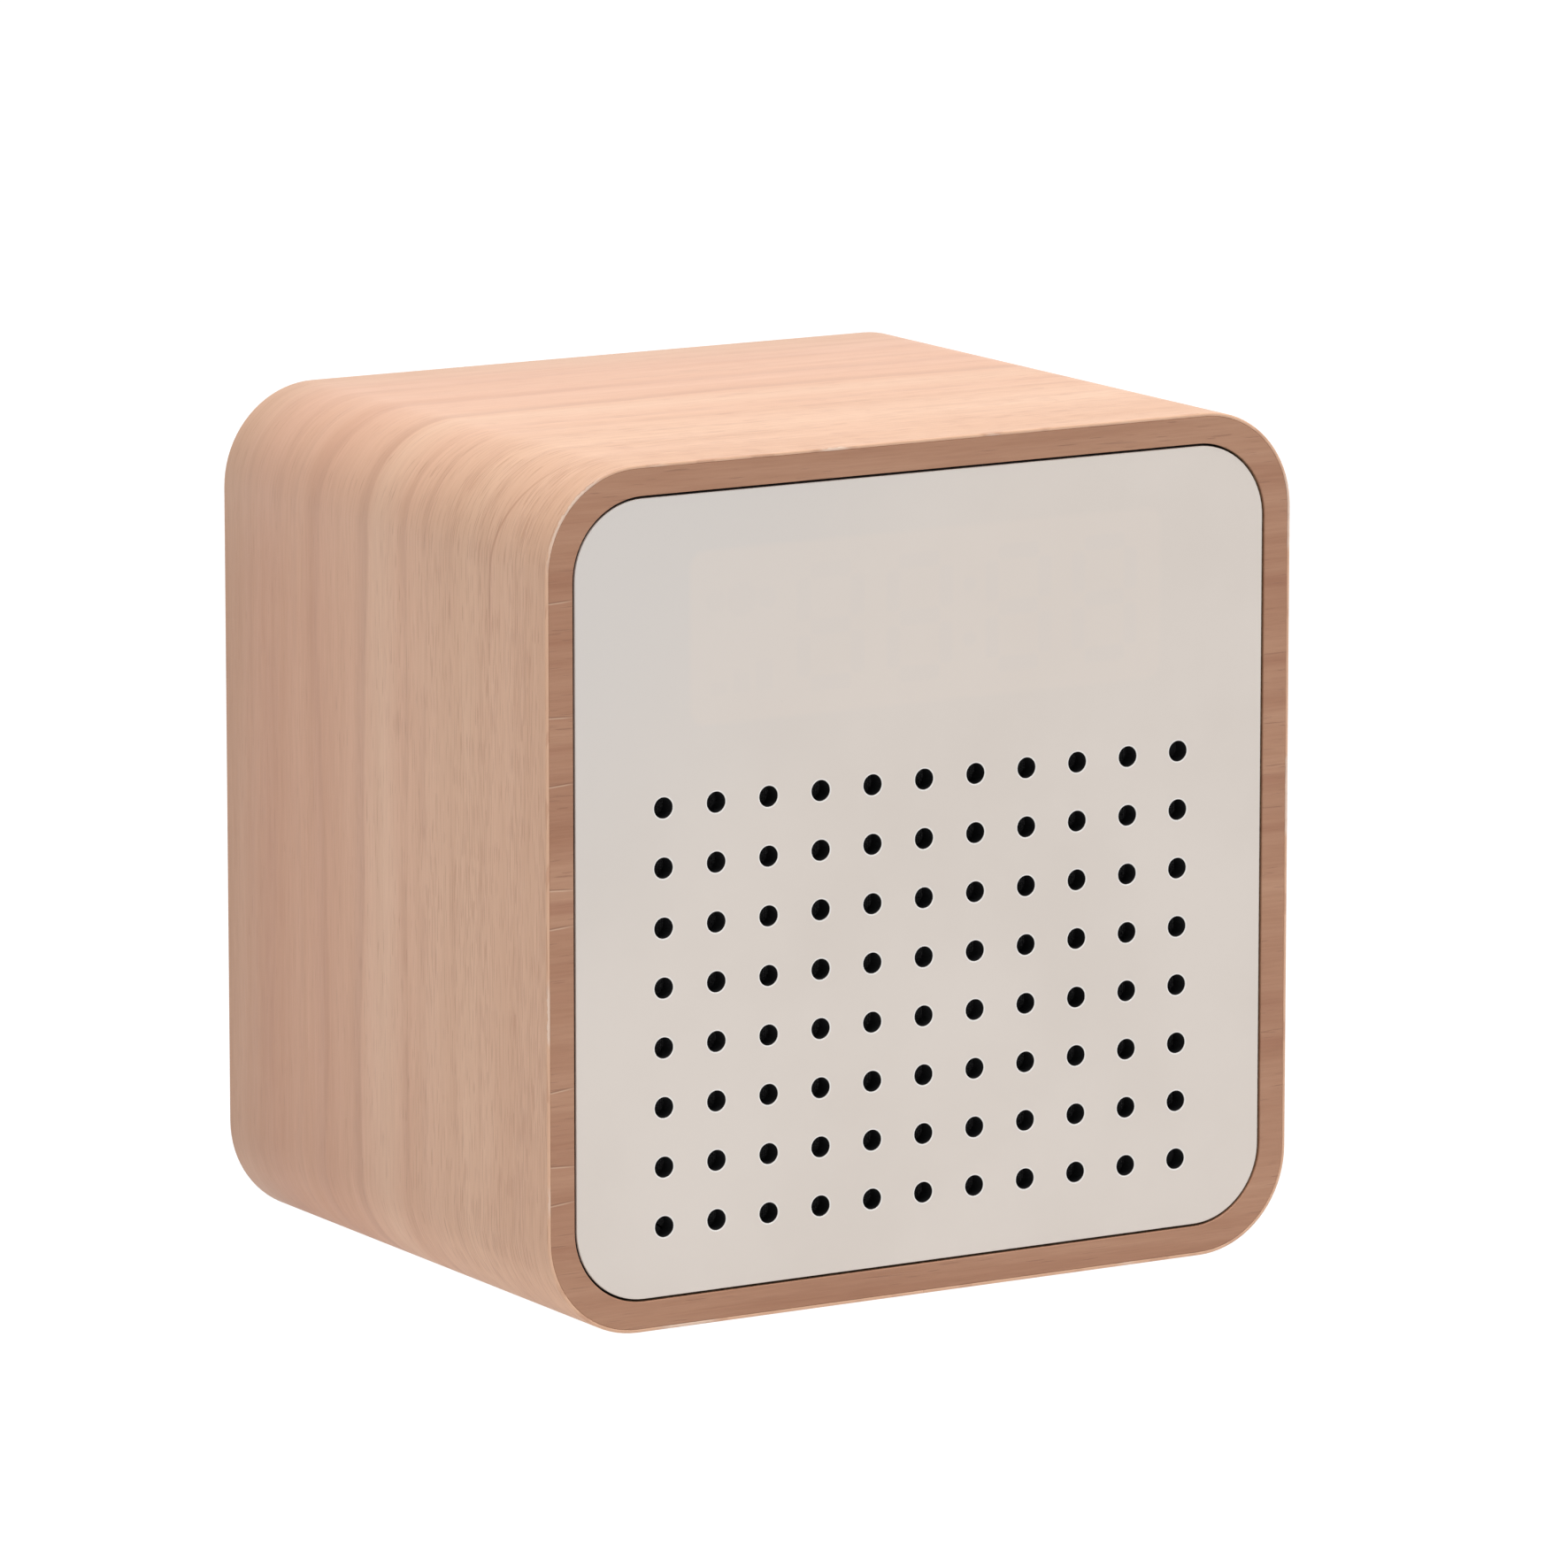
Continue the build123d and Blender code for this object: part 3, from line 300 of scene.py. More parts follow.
# %% Paths and sections
def rounded_outline(width, height, corner, steps):
    """A rounded rectangle as points, anticlockwise from the bottom right corner."""
    points = []
    for quarter, (side, lift) in enumerate(((1, -1), (1, 1), (-1, 1), (-1, -1))):
        centre = Vector((side * (width / 2 - corner), lift * (height / 2 - corner), 0))
        for step in range(steps + 1):
            angle = math.radians(-90 + 90 * (quarter + step / steps))
            points.append(centre + Vector((math.cos(angle), math.sin(angle), 0)) * corner)
    return points


def rounded_line(points, steps=3):
    """A line of (x, y, radius) points, with each inner point rounded to its radius."""
    line = []
    for index, (x, y, radius) in enumerate(points):
        here = Vector((x, y, 0))
        if radius == 0:
            line.append(here)
            continue
        before = (Vector((*points[index - 1][:2], 0)) - here).normalized() * radius
        after = (Vector((*points[(index + 1) % len(points)][:2], 0)) - here).normalized() * radius
        centre = here + before + after
        for step in range(steps + 1):
            turn = math.radians(90 * step / steps)
            line.append(centre - after * math.cos(turn) - before * math.sin(turn))
    return line


def curve_object(name, lines, closed):
    """A curve object of straight runs, for the geometry trees to read."""
    curve = bpy.data.curves.new(name, "CURVE")
    curve.dimensions = "3D"
    for line in lines:
        spline = curve.splines.new("POLY")
        spline.points.add(len(line) - 1)
        for point, place in zip(spline.points, line):
            point.co = (place[0], place[1], 0, 1)
        spline.use_cyclic_u = closed
    return bpy.data.objects.new(name, curve)


# %% [markdown]
# A geometry tree is run on an empty mesh object. Its inputs are set by the identifiers of their sockets,
# the result is read back as a plain mesh, and the modifier is taken off again. A closed piece has no open
# edges, and its volume is above zero only if its faces point outwards, so both are printed.

# %% Run a tree and report on a mesh
def report(piece):
    """Prints a piece's faces, open edges and volume."""
    work = bmesh.new()
    work.from_mesh(piece.data)
    triangles = sum(len(face.verts) - 2 for face in work.faces)
    open_edges = sum(1 for edge in work.edges if len(edge.link_faces) != 2)
    volume = work.calc_volume(signed=True) / MM ** 3
    work.free()
    print(f"{piece.name}: {triangles} triangles, {open_edges} open edges, {volume:.1f} mm3")


def run_tree(tree, name, inputs):
    """Runs a geometry tree with these inputs and returns a mesh object of what it makes."""
    piece = bpy.data.objects.new(name, bpy.data.meshes.new(name))
    scene.collection.objects.link(piece)
    modifier = piece.modifiers.new(name, "NODES")
    modifier.node_group = tree
    for item in tree.interface.items_tree:
        if item.item_type == "SOCKET" and item.in_out == "INPUT" and item.name in inputs:
            modifier[item.identifier] = inputs[item.name]
    depsgraph = bpy.context.evaluated_depsgraph_get()
    made = bpy.data.meshes.new_from_object(piece.evaluated_get(depsgraph), depsgraph=depsgraph)
    piece.modifiers.clear()
    piece.data = made
    made.name = name
    report(piece)
    return piece


def hand_over(piece, body, slot, *nodes):
    """Says which body a piece rides on and which CAD nodes it stands for. Its slot is not used."""
    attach(piece, body)
    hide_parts(*nodes)


# %% [markdown]
# ## Geometry groups
#
# Four small groups are shared by the trees below. The first reads a curve from an object. The second closes
# a swept edge band into a solid sheet: it finds the band's two open rims, turns each rim back into a curve
# and fills it. The third stands a sheet that was drawn flat upright in the case, with its depth running
# backwards. The last repeats a curve or a mesh over a grid, which does for air holes, vents, screws and
# feet.

# %% Shared geometry groups
MERGE_DISTANCE = 0.002 * MM


def swept(tree, path, section):
    """A section swept along a path."""
    return made(tree, "GeometryNodeCurveToMesh", {"Curve": path, "Profile Curve": section})


def together(tree, *parts):
    """Several geometries as one."""
    join = add(tree, "GeometryNodeJoinGeometry")
    for part in parts:
        tree.links.new(part, join.inputs[0])
    return join.outputs[0]


def curve_from(tree, source):
    """The curve of an object."""
    return use(tree, read_curve, {"Object": source})["Curve"]


def end_piece(tree, given, result, shape):
    """Stands a piece up in its place, which ends its tree."""
    upright = {"Geometry": shape, "Place": given["Place"], "Material": given["Material"]}
    fill_in(tree, result, {"Geometry": use(tree, stand_up, upright)["Geometry"]})
    return tree


def make_read_curve():
    inputs = {"Object": (OBJECT, None)}
    tree, given, result = new_group("read_curve", "GeometryNodeTree", inputs, {"Curve": GEOMETRY})
    read = add(tree, "GeometryNodeObjectInfo", {"Object": given["Object"]}, transform_space="ORIGINAL")
    fill_in(tree, result, {"Curve": read.outputs["Geometry"]})
    return tree


def make_close_sheet():
    inputs = {"Band": (GEOMETRY, None), "Thickness": (FLOAT, 0.001)}
    tree, given, result = new_group("close_sheet", "GeometryNodeTree", inputs, {"Sheet": GEOMETRY})
    faces = add(tree, "GeometryNodeInputMeshEdgeNeighbors").outputs["Face Count"]
    is_rim = made(tree, "FunctionNodeCompare", {2: faces, 3: 1}, data_type="INT", operation="EQUAL")
    place = made(tree, "GeometryNodeInputPosition")
    height = split(tree, place)["Z"]
    half = times(tree, given["Thickness"], -0.5)
    is_front = made(tree, "FunctionNodeCompare", {0: height, 1: half}, operation="GREATER_THAN")
    is_back = made(tree, "FunctionNodeBooleanMath", {0: is_front}, operation="NOT")
    fills = []
    for side in (is_front, is_back):
        rim = made(tree, "FunctionNodeBooleanMath", {0: is_rim, 1: side}, operation="AND")
        line = made(tree, "GeometryNodeMeshToCurve", {"Mesh": given["Band"], "Selection": rim})
        fills.append(add(tree, "GeometryNodeFillCurve", {"Curve": line}, mode="TRIANGLES").outputs[0])
    down = joined(tree, Z=times(tree, given["Thickness"], -1.0))
    back = made(tree, "GeometryNodeTransform", {"Geometry": fills[1], "Translation": down})
    back = made(tree, "GeometryNodeFlipFaces", {"Mesh": back})
    flats = together(tree, fills[0], back)
    flats = made(tree, "GeometryNodeSetShadeSmooth", {"Geometry": flats, "Shade Smooth": False})
    band = {"Geometry": given["Band"], "Shade Smooth": True}
    band = made(tree, "GeometryNodeSetShadeSmooth", band)
    whole = together(tree, flats, band)
    merged = add(tree, "GeometryNodeMergeByDistance", {"Geometry": whole, "Distance": MERGE_DISTANCE})
    fill_in(tree, result, {"Sheet": merged.outputs[0]})
    return tree


def make_stand_up():
    inputs = {"Geometry": (GEOMETRY, None), "Place": (VECTOR, (0, 0, 0)), "Material": (MATERIAL, None)}
    tree, given, result = new_group("stand_up", "GeometryNodeTree", inputs, {"Geometry": GEOMETRY})
    turn = (math.radians(90), 0, 0)
    moves = {"Geometry": given["Geometry"], "Translation": given["Place"], "Rotation": turn}
    upright = made(tree, "GeometryNodeTransform", moves)
    single = made(tree, "GeometryNodeRealizeInstances", {"Geometry": upright})
    dressed = add(tree, "GeometryNodeSetMaterial", {"Geometry": single, "Material": given["Material"]})
    fill_in(tree, result, {"Geometry": dressed.outputs[0]})
    return tree


def make_repeat_on_grid():
    """Repeats a curve or a mesh at every point of a grid."""
    inputs = {"Geometry": (GEOMETRY, None), "Columns": (WHOLE, 1), "Rows": (WHOLE, 1),
              "Pitch": (VECTOR, (0, 0, 0)), "Centre": (VECTOR, (0, 0, 0))}
    tree, given, result = new_group("repeat_on_grid", "GeometryNodeTree", inputs, {"Geometry": GEOMETRY})
    pitch = split(tree, given["Pitch"])
    wide = times(tree, less(tree, given["Columns"], 1.0), pitch["X"])
    high = times(tree, less(tree, given["Rows"], 1.0), pitch["Y"])
    counts = {"Size X": wide, "Size Y": high, "Vertices X": given["Columns"], "Vertices Y": given["Rows"]}
    grid = add(tree, "GeometryNodeMeshGrid", counts).outputs["Mesh"]
    grid = made(tree, "GeometryNodeTransform", {"Geometry": grid, "Translation": given["Centre"]})
    spots = {"Points": grid, "Instance": given["Geometry"]}
    copies = made(tree, "GeometryNodeInstanceOnPoints", spots)
    single = made(tree, "GeometryNodeRealizeInstances", {"Geometry": copies})
    fill_in(tree, result, {"Geometry": single})
    return tree


read_curve = make_read_curve()
close_sheet = make_close_sheet()
stand_up = make_stand_up()
repeat_on_grid = make_repeat_on_grid()

# %% [markdown]
# ## The veneer wrap
#
# The sides of the real case are one strip of veneer, wrapped round the board with its grain running round
# the case and its two ends meeting under it. A box with a picture of wood on each side would break the
# grain at the corners. Here the strip is really swept round an open path that starts and ends under the
# case. The tree also stores how far round and how far back each point lies, in metres, as a UV map, so that
# the figure of the wood can bend over the corners as the strip does.

# %% Wrap path and tree
WRAP_CORNER = 12.0 * MM
WRAP_EDGE_ROUND = 0.22 * MM
WRAP_JOINT = 0.05 * MM
CORNER_STEPS = 20
core_low, core_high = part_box("case_core")
wrap_thickness = (case_size - (core_high.x - core_low.x)) / 2


def make_wrap_tree():
    inputs = {"Path": (OBJECT, None), "Section": (OBJECT, None), "Place": (VECTOR, None),
              "Material": (MATERIAL, None)}
    tree, given, result = new_group("veneer_wrap", "GeometryNodeTree", inputs, {"Geometry": GEOMETRY})
    path = curve_from(tree, given["Path"])
    section = curve_from(tree, given["Section"])
    along = add(tree, "GeometryNodeSplineParameter").outputs["Length"]
    kept_path = add(tree, "GeometryNodeCaptureAttribute", {"Geometry": path}, domain="POINT")
    kept_path.capture_items.new("FLOAT", "Along")
    tree.links.new(along, kept_path.inputs["Along"])
    point = made(tree, "GeometryNodeInputPosition")
    back = split(tree, point)["Y"]
    kept_section = add(tree, "GeometryNodeCaptureAttribute", {"Geometry": section}, domain="POINT")
    kept_section.capture_items.new("FLOAT", "Back")
    tree.links.new(back, kept_section.inputs["Back"])
    sweep = {"Curve": kept_path.outputs[0], "Profile Curve": kept_section.outputs[0], "Fill Caps": True}
    strip = made(tree, "GeometryNodeCurveToMesh", sweep)
    place = joined(tree, X=kept_path.outputs["Along"], Y=kept_section.outputs["Back"])
    stored = {"Geometry": strip, "Name": "veneer", "Value": place}
    strip = add(tree, "GeometryNodeStoreNamedAttribute", stored, data_type="FLOAT2", domain="CORNER")
    return end_piece(tree, given, result, strip.outputs[0])


half_case = case_size / 2
wrap_path = [
    Vector((WRAP_JOINT / 2, -half_case, 0)),
    *rounded_outline(case_size, case_size, WRAP_CORNER, CORNER_STEPS),
    Vector((-WRAP_JOINT / 2, -half_case, 0)),
]
wrap_section = rounded_line([
    (-wrap_thickness, 0, 0), (0, 0, WRAP_EDGE_ROUND),
    (0, case_depth, WRAP_EDGE_ROUND), (-wrap_thickness, case_depth, 0),
])
wrap_length = sum((b - a).length for a, b in zip(wrap_path, wrap_path[1:]))
wrap = run_tree(make_wrap_tree(), "veneer_strip", {
    "Path": curve_object("wrap_path", [wrap_path], False),
    "Section": curve_object("wrap_section", [wrap_section], True),
    "Place": Vector((case_middle.x, front_y, case_middle.z)),
})
hand_over(wrap, "case", "side_veneer", "wrap_veneer")
print("strip", round(wrap_length / MM, 1), "mm long and", round(wrap_thickness / MM, 2), "mm thick")

# %% [markdown]
# ## Sheets with openings
#
# The edge rings, the white skin and the back cover are all flat sheets with openings. They could be cut
# with booleans, but those leave sharp edges and uneven faces. Here each opening gets its own small rounded
# edge, swept along its outline. Openings run clockwise and the outer edge anticlockwise, so the same
# section faces away from the material on both.

# %% Sheet tree
def make_ring_tree():
    inputs = {"Outlines": (OBJECT, None), "Section": (OBJECT, None), "Thickness": (FLOAT, 0.001),
              "Place": (VECTOR, None), "Material": (MATERIAL, None)}
    tree, given, result = new_group("edge_ring", "GeometryNodeTree", inputs, {"Geometry": GEOMETRY})
    outlines = curve_from(tree, given["Outlines"])
    section = curve_from(tree, given["Section"])
    band = swept(tree, outlines, section)
    sheet = use(tree, close_sheet, {"Band": band, "Thickness": given["Thickness"]})["Sheet"]
    return end_piece(tree, given, result, sheet)


def edge_section(name, thickness, front_round, back_round):
    """The edge of a sheet from its front face to its back face, rounded at both."""
    corners = [(-front_round, 0, 0), (0, 0, front_round),
               (0, thickness, back_round), (-back_round, thickness, 0)]
    return curve_object(name, [rounded_line(corners)], False)


# %% [markdown]
# ### The edge rings
#
# A second veneer covers the raw edge of the board at the front, and another at the back. Each is a ring 3.2
# mm wide, cut from flat sheet, so its grain runs straight across instead of round the case.

# %% Edge rings
RING_CORNER = 11.6 * MM
RING_ROUND = 0.12 * MM
OPENING_SIZE = 93.8 * MM
OPENING_CORNER = 9.25 * MM


def make_ring(name, node):
    low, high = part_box(node)
    outer = rounded_outline(high.x - low.x, high.z - low.z, RING_CORNER, CORNER_STEPS)
    inner = rounded_outline(OPENING_SIZE, OPENING_SIZE, OPENING_CORNER, CORNER_STEPS)[::-1]
    thickness = high.y - low.y
    ring = run_tree(ring_tree, name, {
        "Outlines": curve_object(name + "_outlines", [outer, inner], True),
        "Section": edge_section(name + "_section", thickness, RING_ROUND, RING_ROUND),
        "Thickness": thickness,
        "Place": Vector((case_middle.x, low.y, case_middle.z)),
    })
    hand_over(ring, "case", "edge_veneer", node)
    return ring


ring_tree = make_ring_tree()
front_ring = make_ring("front_ring", "front_edge_veneer")
rear_ring = make_ring("rear_ring", "rear_edge_veneer")

# %% [markdown]
# ### The front skin
#
# The white skin has eleven columns and eight rows of round air holes. Placing a circle on every point of a
# grid in the tree keeps the columns, the rows and the pitch as numbers to change. The rims of the holes are
# only just broken, as a punch leaves them.

# %% Front skin
HOLE_COLUMNS, HOLE_ROWS = 11, 8
HOLE_PITCH = 7.0 * MM
HOLE_RADIUS = 1.25 * MM
HOLE_SIDES = 28
HOLE_GRID_LIFT = -13.9 * MM
HOLE_ROUND = 0.05 * MM
SKIN_CORNER = 8.95 * MM
SKIN_ROUND = 0.1 * MM


def make_skin_tree():
    inputs = {"Outline": (OBJECT, None), "Edge Section": (OBJECT, None), "Hole Section": (OBJECT, None),
              "Thickness": (FLOAT, 0.001), "Columns": (WHOLE, 2), "Rows": (WHOLE, 2),
              "Pitch": (VECTOR, (0, 0, 0)), "Hole Radius": (FLOAT, 0.001), "Hole Sides": (WHOLE, 24),
              "Grid Centre": (VECTOR, (0, 0, 0)), "Place": (VECTOR, None), "Material": (MATERIAL, None)}
    tree, given, result = new_group("pierced_skin", "GeometryNodeTree", inputs, {"Geometry": GEOMETRY})
    outline = curve_from(tree, given["Outline"])
    edge = curve_from(tree, given["Edge Section"])
    rim = curve_from(tree, given["Hole Section"])
    round_line = {"Resolution": given["Hole Sides"], "Radius": given["Hole Radius"]}
    circle = add(tree, "GeometryNodeCurvePrimitiveCircle", round_line).outputs["Curve"]
    circle = made(tree, "GeometryNodeReverseCurve", {"Curve": circle})
    spots = {"Geometry": circle, "Columns": given["Columns"], "Rows": given["Rows"],
             "Pitch": given["Pitch"], "Centre": given["Grid Centre"]}
    circles = use(tree, repeat_on_grid, spots)["Geometry"]
    bands = together(tree, swept(tree, outline, edge), swept(tree, circles, rim))
    sheet = use(tree, close_sheet, {"Band": bands, "Thickness": given["Thickness"]})["Sheet"]
    return end_piece(tree, given, result, sheet)


skin_low, skin_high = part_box("front_skin")
skin_size = skin_high.x - skin_low.x
skin_thickness = skin_high.y - skin_low.y
skin_line = rounded_outline(skin_size, skin_size, SKIN_CORNER, CORNER_STEPS)
skin = run_tree(make_skin_tree(), "white_skin", {
    "Outline": curve_object("skin_outline", [skin_line], True),
    "Edge Section": edge_section("skin_edge", skin_thickness, SKIN_ROUND, SKIN_ROUND),
    "Hole Section": edge_section("skin_hole", skin_thickness, HOLE_ROUND, HOLE_ROUND),
    "Thickness": skin_thickness, "Columns": HOLE_COLUMNS, "Rows": HOLE_ROWS,
    "Pitch": Vector((HOLE_PITCH, HOLE_PITCH, 0)), "Hole Radius": HOLE_RADIUS, "Hole Sides": HOLE_SIDES,
    "Grid Centre": Vector((0, HOLE_GRID_LIFT, 0)),
    "Place": Vector((case_middle.x, skin_low.y, case_middle.z)),
})
hand_over(skin, "case", "opal_plastic", "front_skin")
print(HOLE_COLUMNS * HOLE_ROWS, "air holes")

# %% [markdown]
# ## Helpers for finishes
#
# Each finish is a node tree around one Principled BSDF. Plain values are set on the shader itself, and only
# what changes over the surface, such as figure, flecks and wear, comes in through nodes. Three helpers
# cover most of what the finishes do: mix two colours by a mask, ease a value between two limits, and read
# noise that is stretched along one direction.

# %% Finish helpers
def mixed(tree, share, first, second, blend_type="MIX"):
    """Two colours mixed by a share from 0 to 1."""
    inputs = {0: share, 6: first, 7: second}
    return add(tree, "ShaderNodeMix", inputs, data_type="RGBA", blend_type=blend_type).outputs[2]


def eased(tree, value, low, high, to_low=0.0, to_high=1.0):
    """A value eased from to_low, where it is low, to to_high, where it is high."""
    inputs = {"Value": value, "From Min": low, "From Max": high, "To Min": to_low, "To Max": to_high}
    return made(tree, "ShaderNodeMapRange", inputs, interpolation_type="SMOOTHSTEP")


def laid_over(tree, colour, mask, share, tone):
    """A colour with another tone laid over it where a mask is, at this share of its strength."""
    return mixed(tree, times(tree, mask, share), colour, tone)


def scaled(tree, vector, scale):
    """A vector with each part multiplied on its own."""
    return made(tree, "ShaderNodeVectorMath", {0: vector, 1: scale}, operation="MULTIPLY")


def noise(tree, vector, scale, detail=2.0, roughness=0.5):
    """Noise on a vector whose parts are first scaled one by one."""
    inputs = {"Vector": scaled(tree, vector, scale), "Scale": 1.0, "Detail": detail, "Roughness": roughness}
    return add(tree, "ShaderNodeTexNoise", inputs).outputs["Fac"]


def line_noise(tree, value, scale, seed, detail=1.0):
    """Noise along one value only."""
    place = maths(tree, "MULTIPLY_ADD", value, scale, seed)
    inputs = {"W": place, "Scale": 1.0, "Detail": detail}
    return add(tree, "ShaderNodeTexNoise", inputs, noise_dimensions="1D").outputs["Fac"]


def new_finish(name, **values):
    """A material with its tree, shader and Object coordinates. Plain values are set on the shader."""
    material = bpy.data.materials.new(name)
    material.use_nodes = True
    tree = material.node_tree
    shader = tree.nodes["Principled BSDF"]
    fill_in(tree, shader, {key.replace("_", " "): value for key, value in values.items()})
    return material, tree, shader, add(tree, "ShaderNodeTexCoord").outputs["Object"]


def bumped(tree, height, distance):
    """A normal from a height."""
    return made(tree, "ShaderNodeBump", {"Height": height, "Distance": distance, "Strength": 1.0})


def dress(piece, material):
    """Puts one material on a piece's own slot."""
    piece.data.materials.clear()
    piece.data.materials.append(material)


# %% [markdown]
# ## Wood
#
# The veneer is a pale, pinkish, close-grained wood, oiled but not glossy. Its figure has four parts, each
# at its own size: long soft streaks, fine fibres, short dark pores, and a few dark growth lines that run
# the whole way and wander a little. All of them are stretched along the grain, so one group makes them from
# a vector whose X runs with the grain, and both veneers use it with their own amounts.

# %% Shared wood groups
def make_wood_fibres():
    outputs = {"Streaks": FLOAT, "Fibres": FLOAT, "Pores": FLOAT, "Height": FLOAT}
    inputs = {"Vector": (VECTOR, None), "Pore Share": (FLOAT, 0.1)}
    tree, given, result = new_group("wood_fibres", "ShaderNodeTree", inputs, outputs)
    vector = given["Vector"]
    broad = noise(tree, vector, (9, 170, 170), 3.0, 0.55)
    fine = noise(tree, vector, (34, 620, 620), 3.0, 0.6)
    streaks = plus(tree, times(tree, broad, 0.6), times(tree, fine, 0.4))
    fibres = noise(tree, vector, (150, 3000, 3000), 2.0, 0.6)
    pore_noise = noise(tree, vector, (260, 5600, 5600), 0.0)
    pore_fields = noise(tree, vector, (40, 240, 240), 1.0)
    lowest = less(tree, 0.80, times(tree, given["Pore Share"], pore_fields))
    pores = eased(tree, less(tree, pore_noise, lowest), 0.0, 0.07)
    height = less(tree, fibres, times(tree, pores, 0.6))
    fill_in(tree, result, {"Streaks": streaks, "Fibres": fibres, "Pores": pores, "Height": height})
    return tree


def make_growth_line():
    """A dark line along the grain, crisp on its front side and soft behind, that wanders as it goes."""
    inputs = {"Along": (FLOAT, 0.0), "Back": (FLOAT, 0.0), "Place": (FLOAT, 0.0), "Width": (FLOAT, 0.001),
              "Wander": (FLOAT, 0.001), "Seed": (FLOAT, 0.0), "Breaks": (FLOAT, 0.0)}
    tree, given, result = new_group("growth_line", "ShaderNodeTree", inputs, {"Mask": FLOAT})
    swing = less(tree, line_noise(tree, given["Along"], 14.0, given["Seed"], 2.0), 0.5)
    centre = maths(tree, "MULTIPLY_ADD", swing, given["Wander"], given["Place"])
    past = less(tree, given["Back"], centre)
    before = times(tree, given["Width"], -0.5)
    behind = times(tree, given["Width"], 2.2)
    mask = times(tree, eased(tree, past, before, 0.0), eased(tree, past, 0.0, behind, 1.0, 0.0))
    broken = line_noise(tree, given["Along"], 60.0, given["Seed"], 2.0)
    gaps = eased(tree, broken, 0.42, 0.6, 0.0, given["Breaks"])
    fill_in(tree, result, {"Mask": times(tree, mask, one_minus(tree, gaps))})
    return tree


def make_pin_speck():
    """One small dark speck, longer along the grain than across it."""
    inputs = {"Along": (FLOAT, 0.0), "Back": (FLOAT, 0.0), "Centre Along": (FLOAT, 0.0),
              "Centre Back": (FLOAT, 0.0), "Length": (FLOAT, 0.002), "Width": (FLOAT, 0.0005)}
    tree, given, result = new_group("pin_speck", "ShaderNodeTree", inputs, {"Mask": FLOAT})
    parts = []
    for place, centre, size in (("Along", "Centre Along", "Length"), ("Back", "Centre Back", "Width")):
        away = parted(tree, less(tree, given[place], given[centre]), given[size])
        parts.append(times(tree, away, away))
    reach = maths(tree, "SQRT", plus(tree, *parts))
    fill_in(tree, result, {"Mask": eased(tree, reach, 0.2, 1.0, 1.0, 0.0)})
    return tree


def make_frayed_and_highlit_edge():
    """Where a cut edge has worn back to pale broken fibres, with a painted highlight line along it. Depth is
    how far a point is from the edge.
    """
    inputs = {"Along": (FLOAT, 0.0), "Depth": (FLOAT, 0.0), "Width": (FLOAT, 0.0003), "Share": (FLOAT, 0.5)}
    tree, given, result = new_group("frayed_and_highlit_edge", "ShaderNodeTree", inputs, {"Mask": FLOAT})
    ragged = line_noise(tree, given["Along"], 900.0, 3.7, 3.0)
    patches = line_noise(tree, given["Along"], 55.0, 8.1, 2.0)
    reach = times(tree, given["Width"], eased(tree, ragged, 0.3, 0.7, 0.2, 1.5))
    near = one_minus(tree, eased(tree, parted(tree, given["Depth"], reach), 0.7, 1.1))
    floor = one_minus(tree, given["Share"])
    present = eased(tree, less(tree, patches, floor), -0.03, 0.06)
    fill_in(tree, result, {"Mask": times(tree, near, present)})
    return tree


wood_fibres = make_wood_fibres()
growth_line = make_growth_line()
pin_speck = make_pin_speck()
frayed_and_highlit_edge = make_frayed_and_highlit_edge()

# %% [markdown]
# ### Side veneer
#
# The strip changes tone across its width: pinker towards the back of the case, paler and browner towards
# the front. A colour ramp across the width gives that, with its place pushed about by noise so that no edge
# in it is straight. On the left side of the case the colour is made darker and browner still towards the
# back. Growth lines, one hairline and some specks are laid over it by their measured places, as in one
# particular sheet of wood. A thin coat stands for the oil: seen at a low angle, the top of the case mirrors
# the white walls a little.

# %% Side veneer
# depth behind the front in mm, colour
WOOD_BANDS = (
    (0.0, (0.775, 0.477, 0.315)), (11.0, (0.790, 0.487, 0.323)), (18.5, (0.825, 0.523, 0.351)),
    (28.5, (0.780, 0.472, 0.310)), (33.5, (0.790, 0.472, 0.310)), (38.5, (0.820, 0.518, 0.349)),
    (42.0, (0.790, 0.477, 0.315)), (46.0, (0.780, 0.457, 0.298)), (53.5, (0.740, 0.416, 0.267)),
    (57.0, (0.770, 0.447, 0.291)), (66.0, (0.735, 0.416, 0.269)), (76.0, (0.690, 0.411, 0.263)),
)
# depth, width and wander in mm, seed, how broken, how dark
GROWTH_LINES = (
    (43.2, 1.5, 4.5, 11.0, 0.15, 0.42), (53.0, 1.6, 5.5, 4.0, 0.3, 0.26), (32.6, 1.0, 4.0, 7.5, 0.7, 0.28),
    (28.4, 0.8, 4.0, 19.0, 0.85, 0.24), (64.5, 1.8, 6.0, 23.0, 0.6, 0.18), (21.5, 0.7, 3.5, 31.0, 0.8, 0.18),
    (58.8, 0.9, 4.0, 41.0, 0.7, 0.16), (15.0, 0.6, 3.0, 53.0, 0.8, 0.15), (70.0, 1.0, 4.0, 61.0, 0.7, 0.14),
)
